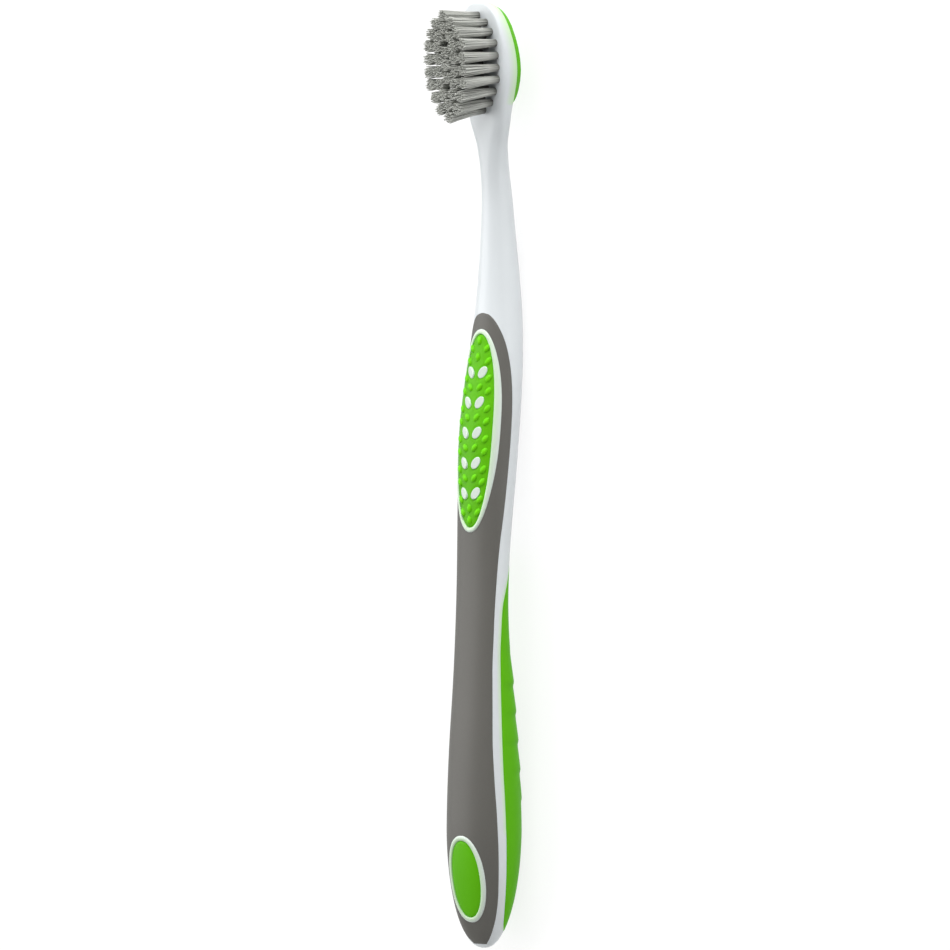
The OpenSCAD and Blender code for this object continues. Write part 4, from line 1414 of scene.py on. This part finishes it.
def bristle_nylon(scene):
    """Nylon filaments: each has a tone of its own, and painted shade darkens them toward their
    roots.
    """
    name = "Bristle nylon"
    if name in bpy.data.materials:
        return bpy.data.materials[name]
    colour = scene.brush_colours.bristle
    material, tree, shader = new_material(name)
    tone = attribute(tree, (-900, 200), "filament_tone")
    pale, bright = opaque(shade_of(colour, 0.8)), opaque(shade_of(colour, 1.14))
    tint = mix_colours(tree, (-650, 200), tone, pale, bright)
    height = attribute(tree, (-900, -100), "filament_root_shade")
    # Painted shade: the ramp darkens each filament toward its root, where the tufts shade each
    # other
    ramp = add_node(tree, "ShaderNodeValToRGB", (-650, -100), {"Fac": height})
    ramp.color_ramp.elements[0].color = (0.27, 0.27, 0.26, 1)
    ramp.color_ramp.elements[1].position = 0.32
    ramp.color_ramp.elements[1].color = (1, 1, 1, 1)
    shade = ramp.outputs["Color"]
    shaded = mix_colours(tree, (-350, 100), 1, tint, shade, blend_type="MULTIPLY")
    place = add_node(tree, "ShaderNodeTexCoord", (-900, -400)).outputs["Object"]
    streak = add_node(
        tree, "ShaderNodeTexNoise", (-650, -400), {"Vector": place}, Scale=2500.0, Detail=1.0
    )
    gloss = map_to(tree, (-350, -400), streak.outputs["Fac"], 0.3, 0.5)
    feed(tree, shader, {"Base Color": shaded, "Roughness": gloss, "IOR": 1.53})
    return material


def anchor_metal(scene):
    """Rolled anchor wire: metal with fine lines across it."""
    name = "Anchor metal"
    if name in bpy.data.materials:
        return bpy.data.materials[name]
    colour = scene.brush_colours.metal
    material, tree, shader = new_material(name)
    place = add_node(tree, "ShaderNodeTexCoord", (-900, 0)).outputs["Object"]
    stretch = {"Vector": place, "Scale": (300, 300, 9000)}
    stretched = add_node(tree, "ShaderNodeMapping", (-700, 0), stretch).outputs["Vector"]
    lines = add_node(
        tree, "ShaderNodeTexNoise", (-500, 0), {"Vector": stretched}, Scale=1.0, Detail=2.0
    ).outputs["Fac"]
    tint = mix_colours(tree, (-250, 150), lines, opaque(colour), opaque(shade_of(colour, 0.7)))
    gloss = map_to(tree, (-250, -100), lines, 0.22, 0.42)
    feed(tree, shader, {"Base Color": tint, "Roughness": gloss, "Metallic": 1})
    return material


class BRUSH_OT_anchors(Operator):
    """Give the tufts' anchor plates their metal finish"""

    bl_idname = "brush.anchors"
    bl_label = "Anchor plates"

    def execute(self, context):
        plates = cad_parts["tuft_anchors"]
        plates.data.materials.clear()
        plates.data.materials.append(anchor_metal(context.scene))
        return {"FINISHED"}


def add_lamp(name, way, power, target):
    """A square soft lamp, placed along a direction from its target."""
    lamp = bpy.data.lights.new(name, "AREA")
    lamp.shape = "SQUARE"
    lamp.size = LAMP_SIZE
    lamp.energy = power
    holder = bpy.data.objects.new(name, lamp)
    bpy.context.collection.objects.link(holder)
    way = Vector(way).normalized()
    holder.location = target + way * LAMP_DISTANCE
    holder.rotation_mode = "QUATERNION"
    holder.rotation_quaternion = (-way).to_track_quat("-Z", "Y")
    return holder


def floor_material():
    """White floor: plain for light, near white for the camera, and it keeps the shadow."""
    material, tree, shader = new_material("White floor")
    shader.inputs["Roughness"].default_value = 0.9
    shader.inputs["Specular IOR Level"].default_value = 0
    path = add_node(tree, "ShaderNodeLightPath", (-800, 200)).outputs
    seen = calculate(tree, (-600, 200), "MAXIMUM", path["Is Camera Ray"], path["Is Glossy Ray"])
    through = calculate(tree, (-400, 200), "MAXIMUM", seen, path["Is Transmission Ray"])
    base = mix_colours(tree, (-200, 0), through, (0.82, 0.82, 0.82, 1), (0.26, 0.26, 0.26, 1))
    feed(tree, shader, {"Base Color": base})
    lift = calculate(tree, (-200, 200), "MULTIPLY", through, 0.82)
    glow = add_node(tree, "ShaderNodeEmission", (0, 200), {"Strength": lift})
    shaders = {0: shader.outputs[0], 1: glow.outputs[0]}
    both = add_node(tree, "ShaderNodeAddShader", (350, 100), shaders)
    output = tree.nodes["Material Output"]
    output.location = (550, 100)
    feed(tree, output, {"Surface": both.outputs[0]})
    return material


def stage_world(scene):
    """Even white world light, with a white background behind the brush."""
    world = bpy.data.worlds.new("Studio")
    scene.world = world
    world.use_nodes = True
    tree = world.node_tree
    sky = tree.nodes["Background"]
    sky.inputs["Color"].default_value = (1, 1, 1, 1)
    path = add_node(tree, "ShaderNodeLightPath", (-600, 200)).outputs
    strength = map_to(tree, (-300, 200), path["Is Camera Ray"], 0.25, 1)
    feed(tree, sky, {"Strength": strength})


def stage_camera(scene, target):
    """Camera in front and to one side of the upright brush, its picture's top at the head."""
    s = scene.brush_stage
    up = Vector((math.cos(s.tilt), 0, math.sin(s.tilt)))
    front = Vector((-math.sin(s.tilt), 0, math.cos(s.tilt)))
    back = front * math.cos(s.turn) - Vector((0, 1, 0)) * math.sin(s.turn)
    right = up.cross(back)
    camera = bpy.data.cameras.new("Camera")
    camera.sensor_width = 36
    camera.lens = camera.sensor_width * s.distance / s.view_w
    camera.clip_start, camera.clip_end = 0.05, 20
    holder = bpy.data.objects.new("Camera", camera)
    scene.collection.objects.link(holder)
    turn = Matrix((right, up, back)).transposed().to_4x4()
    holder.matrix_world = Matrix.Translation(target + back * s.distance) @ turn
    scene.camera = holder


class BRUSH_OT_stage(Operator):
    """Set up the floor, the lamps and the camera"""

    bl_idname = "brush.stage"
    bl_label = "Stage"

    def execute(self, context):
        scene = context.scene
        target = Vector((0, 0, scene.brush_stage.look_z))
        deselect()
        bpy.ops.mesh.primitive_plane_add(size=12)
        floor = context.object
        floor.name = "floor"
        floor.data.materials.append(floor_material())
        stage_world(scene)
        for name, (way, power) in LAMPS.items():
            add_lamp(name, way, power, target)
        stage_camera(scene, target)
        scene.view_settings.view_transform = "Standard"
        return {"FINISHED"}


OPERATORS = (
    BRUSH_OT_core,
    BRUSH_OT_front_grip,
    BRUSH_OT_back_grip,
    BRUSH_OT_thumb_pad,
    BRUSH_OT_end_pad,
    BRUSH_OT_cleaner,
    BRUSH_OT_bristles,
    BRUSH_OT_anchors,
    BRUSH_OT_stage,
)


class BRUSH_PT_panel(Panel):
    """Sidebar panel with one button for each group of pieces"""

    bl_idname = "BRUSH_PT_panel"
    bl_label = "Toothbrush"
    bl_space_type = "VIEW_3D"
    bl_region_type = "UI"
    bl_category = "Toothbrush"

    def draw(self, context):
        for operator in OPERATORS:
            self.layout.operator(operator.bl_idname)
        for name in GROUPS:
            group = getattr(context.scene, name)
            box = self.layout.box()
            for key in group.__annotations__:
                box.prop(group, key)


GROUPS = {
    "brush_handle": HandleSizes,
    "brush_head": HeadSizes,
    "brush_grips": GripSizes,
    "brush_bristles": BristleSizes,
    "brush_colours": FinishColours,
    "brush_stage": StageSettings,
}


def register():
    for kind in (*GROUPS.values(), *OPERATORS, BRUSH_PT_panel):
        bpy.utils.register_class(kind)
    for name, group in GROUPS.items():
        setattr(bpy.types.Scene, name, PointerProperty(type=group))


def unregister():
    for name in GROUPS:
        delattr(bpy.types.Scene, name)
    for kind in (BRUSH_PT_panel, *reversed(OPERATORS), *GROUPS.values()):
        bpy.utils.unregister_class(kind)


def main():
    register()
    for operator in OPERATORS:
        family, name = operator.bl_idname.split(".")
        getattr(getattr(bpy.ops, family), name)()


if __name__ == "__main__":
    main()
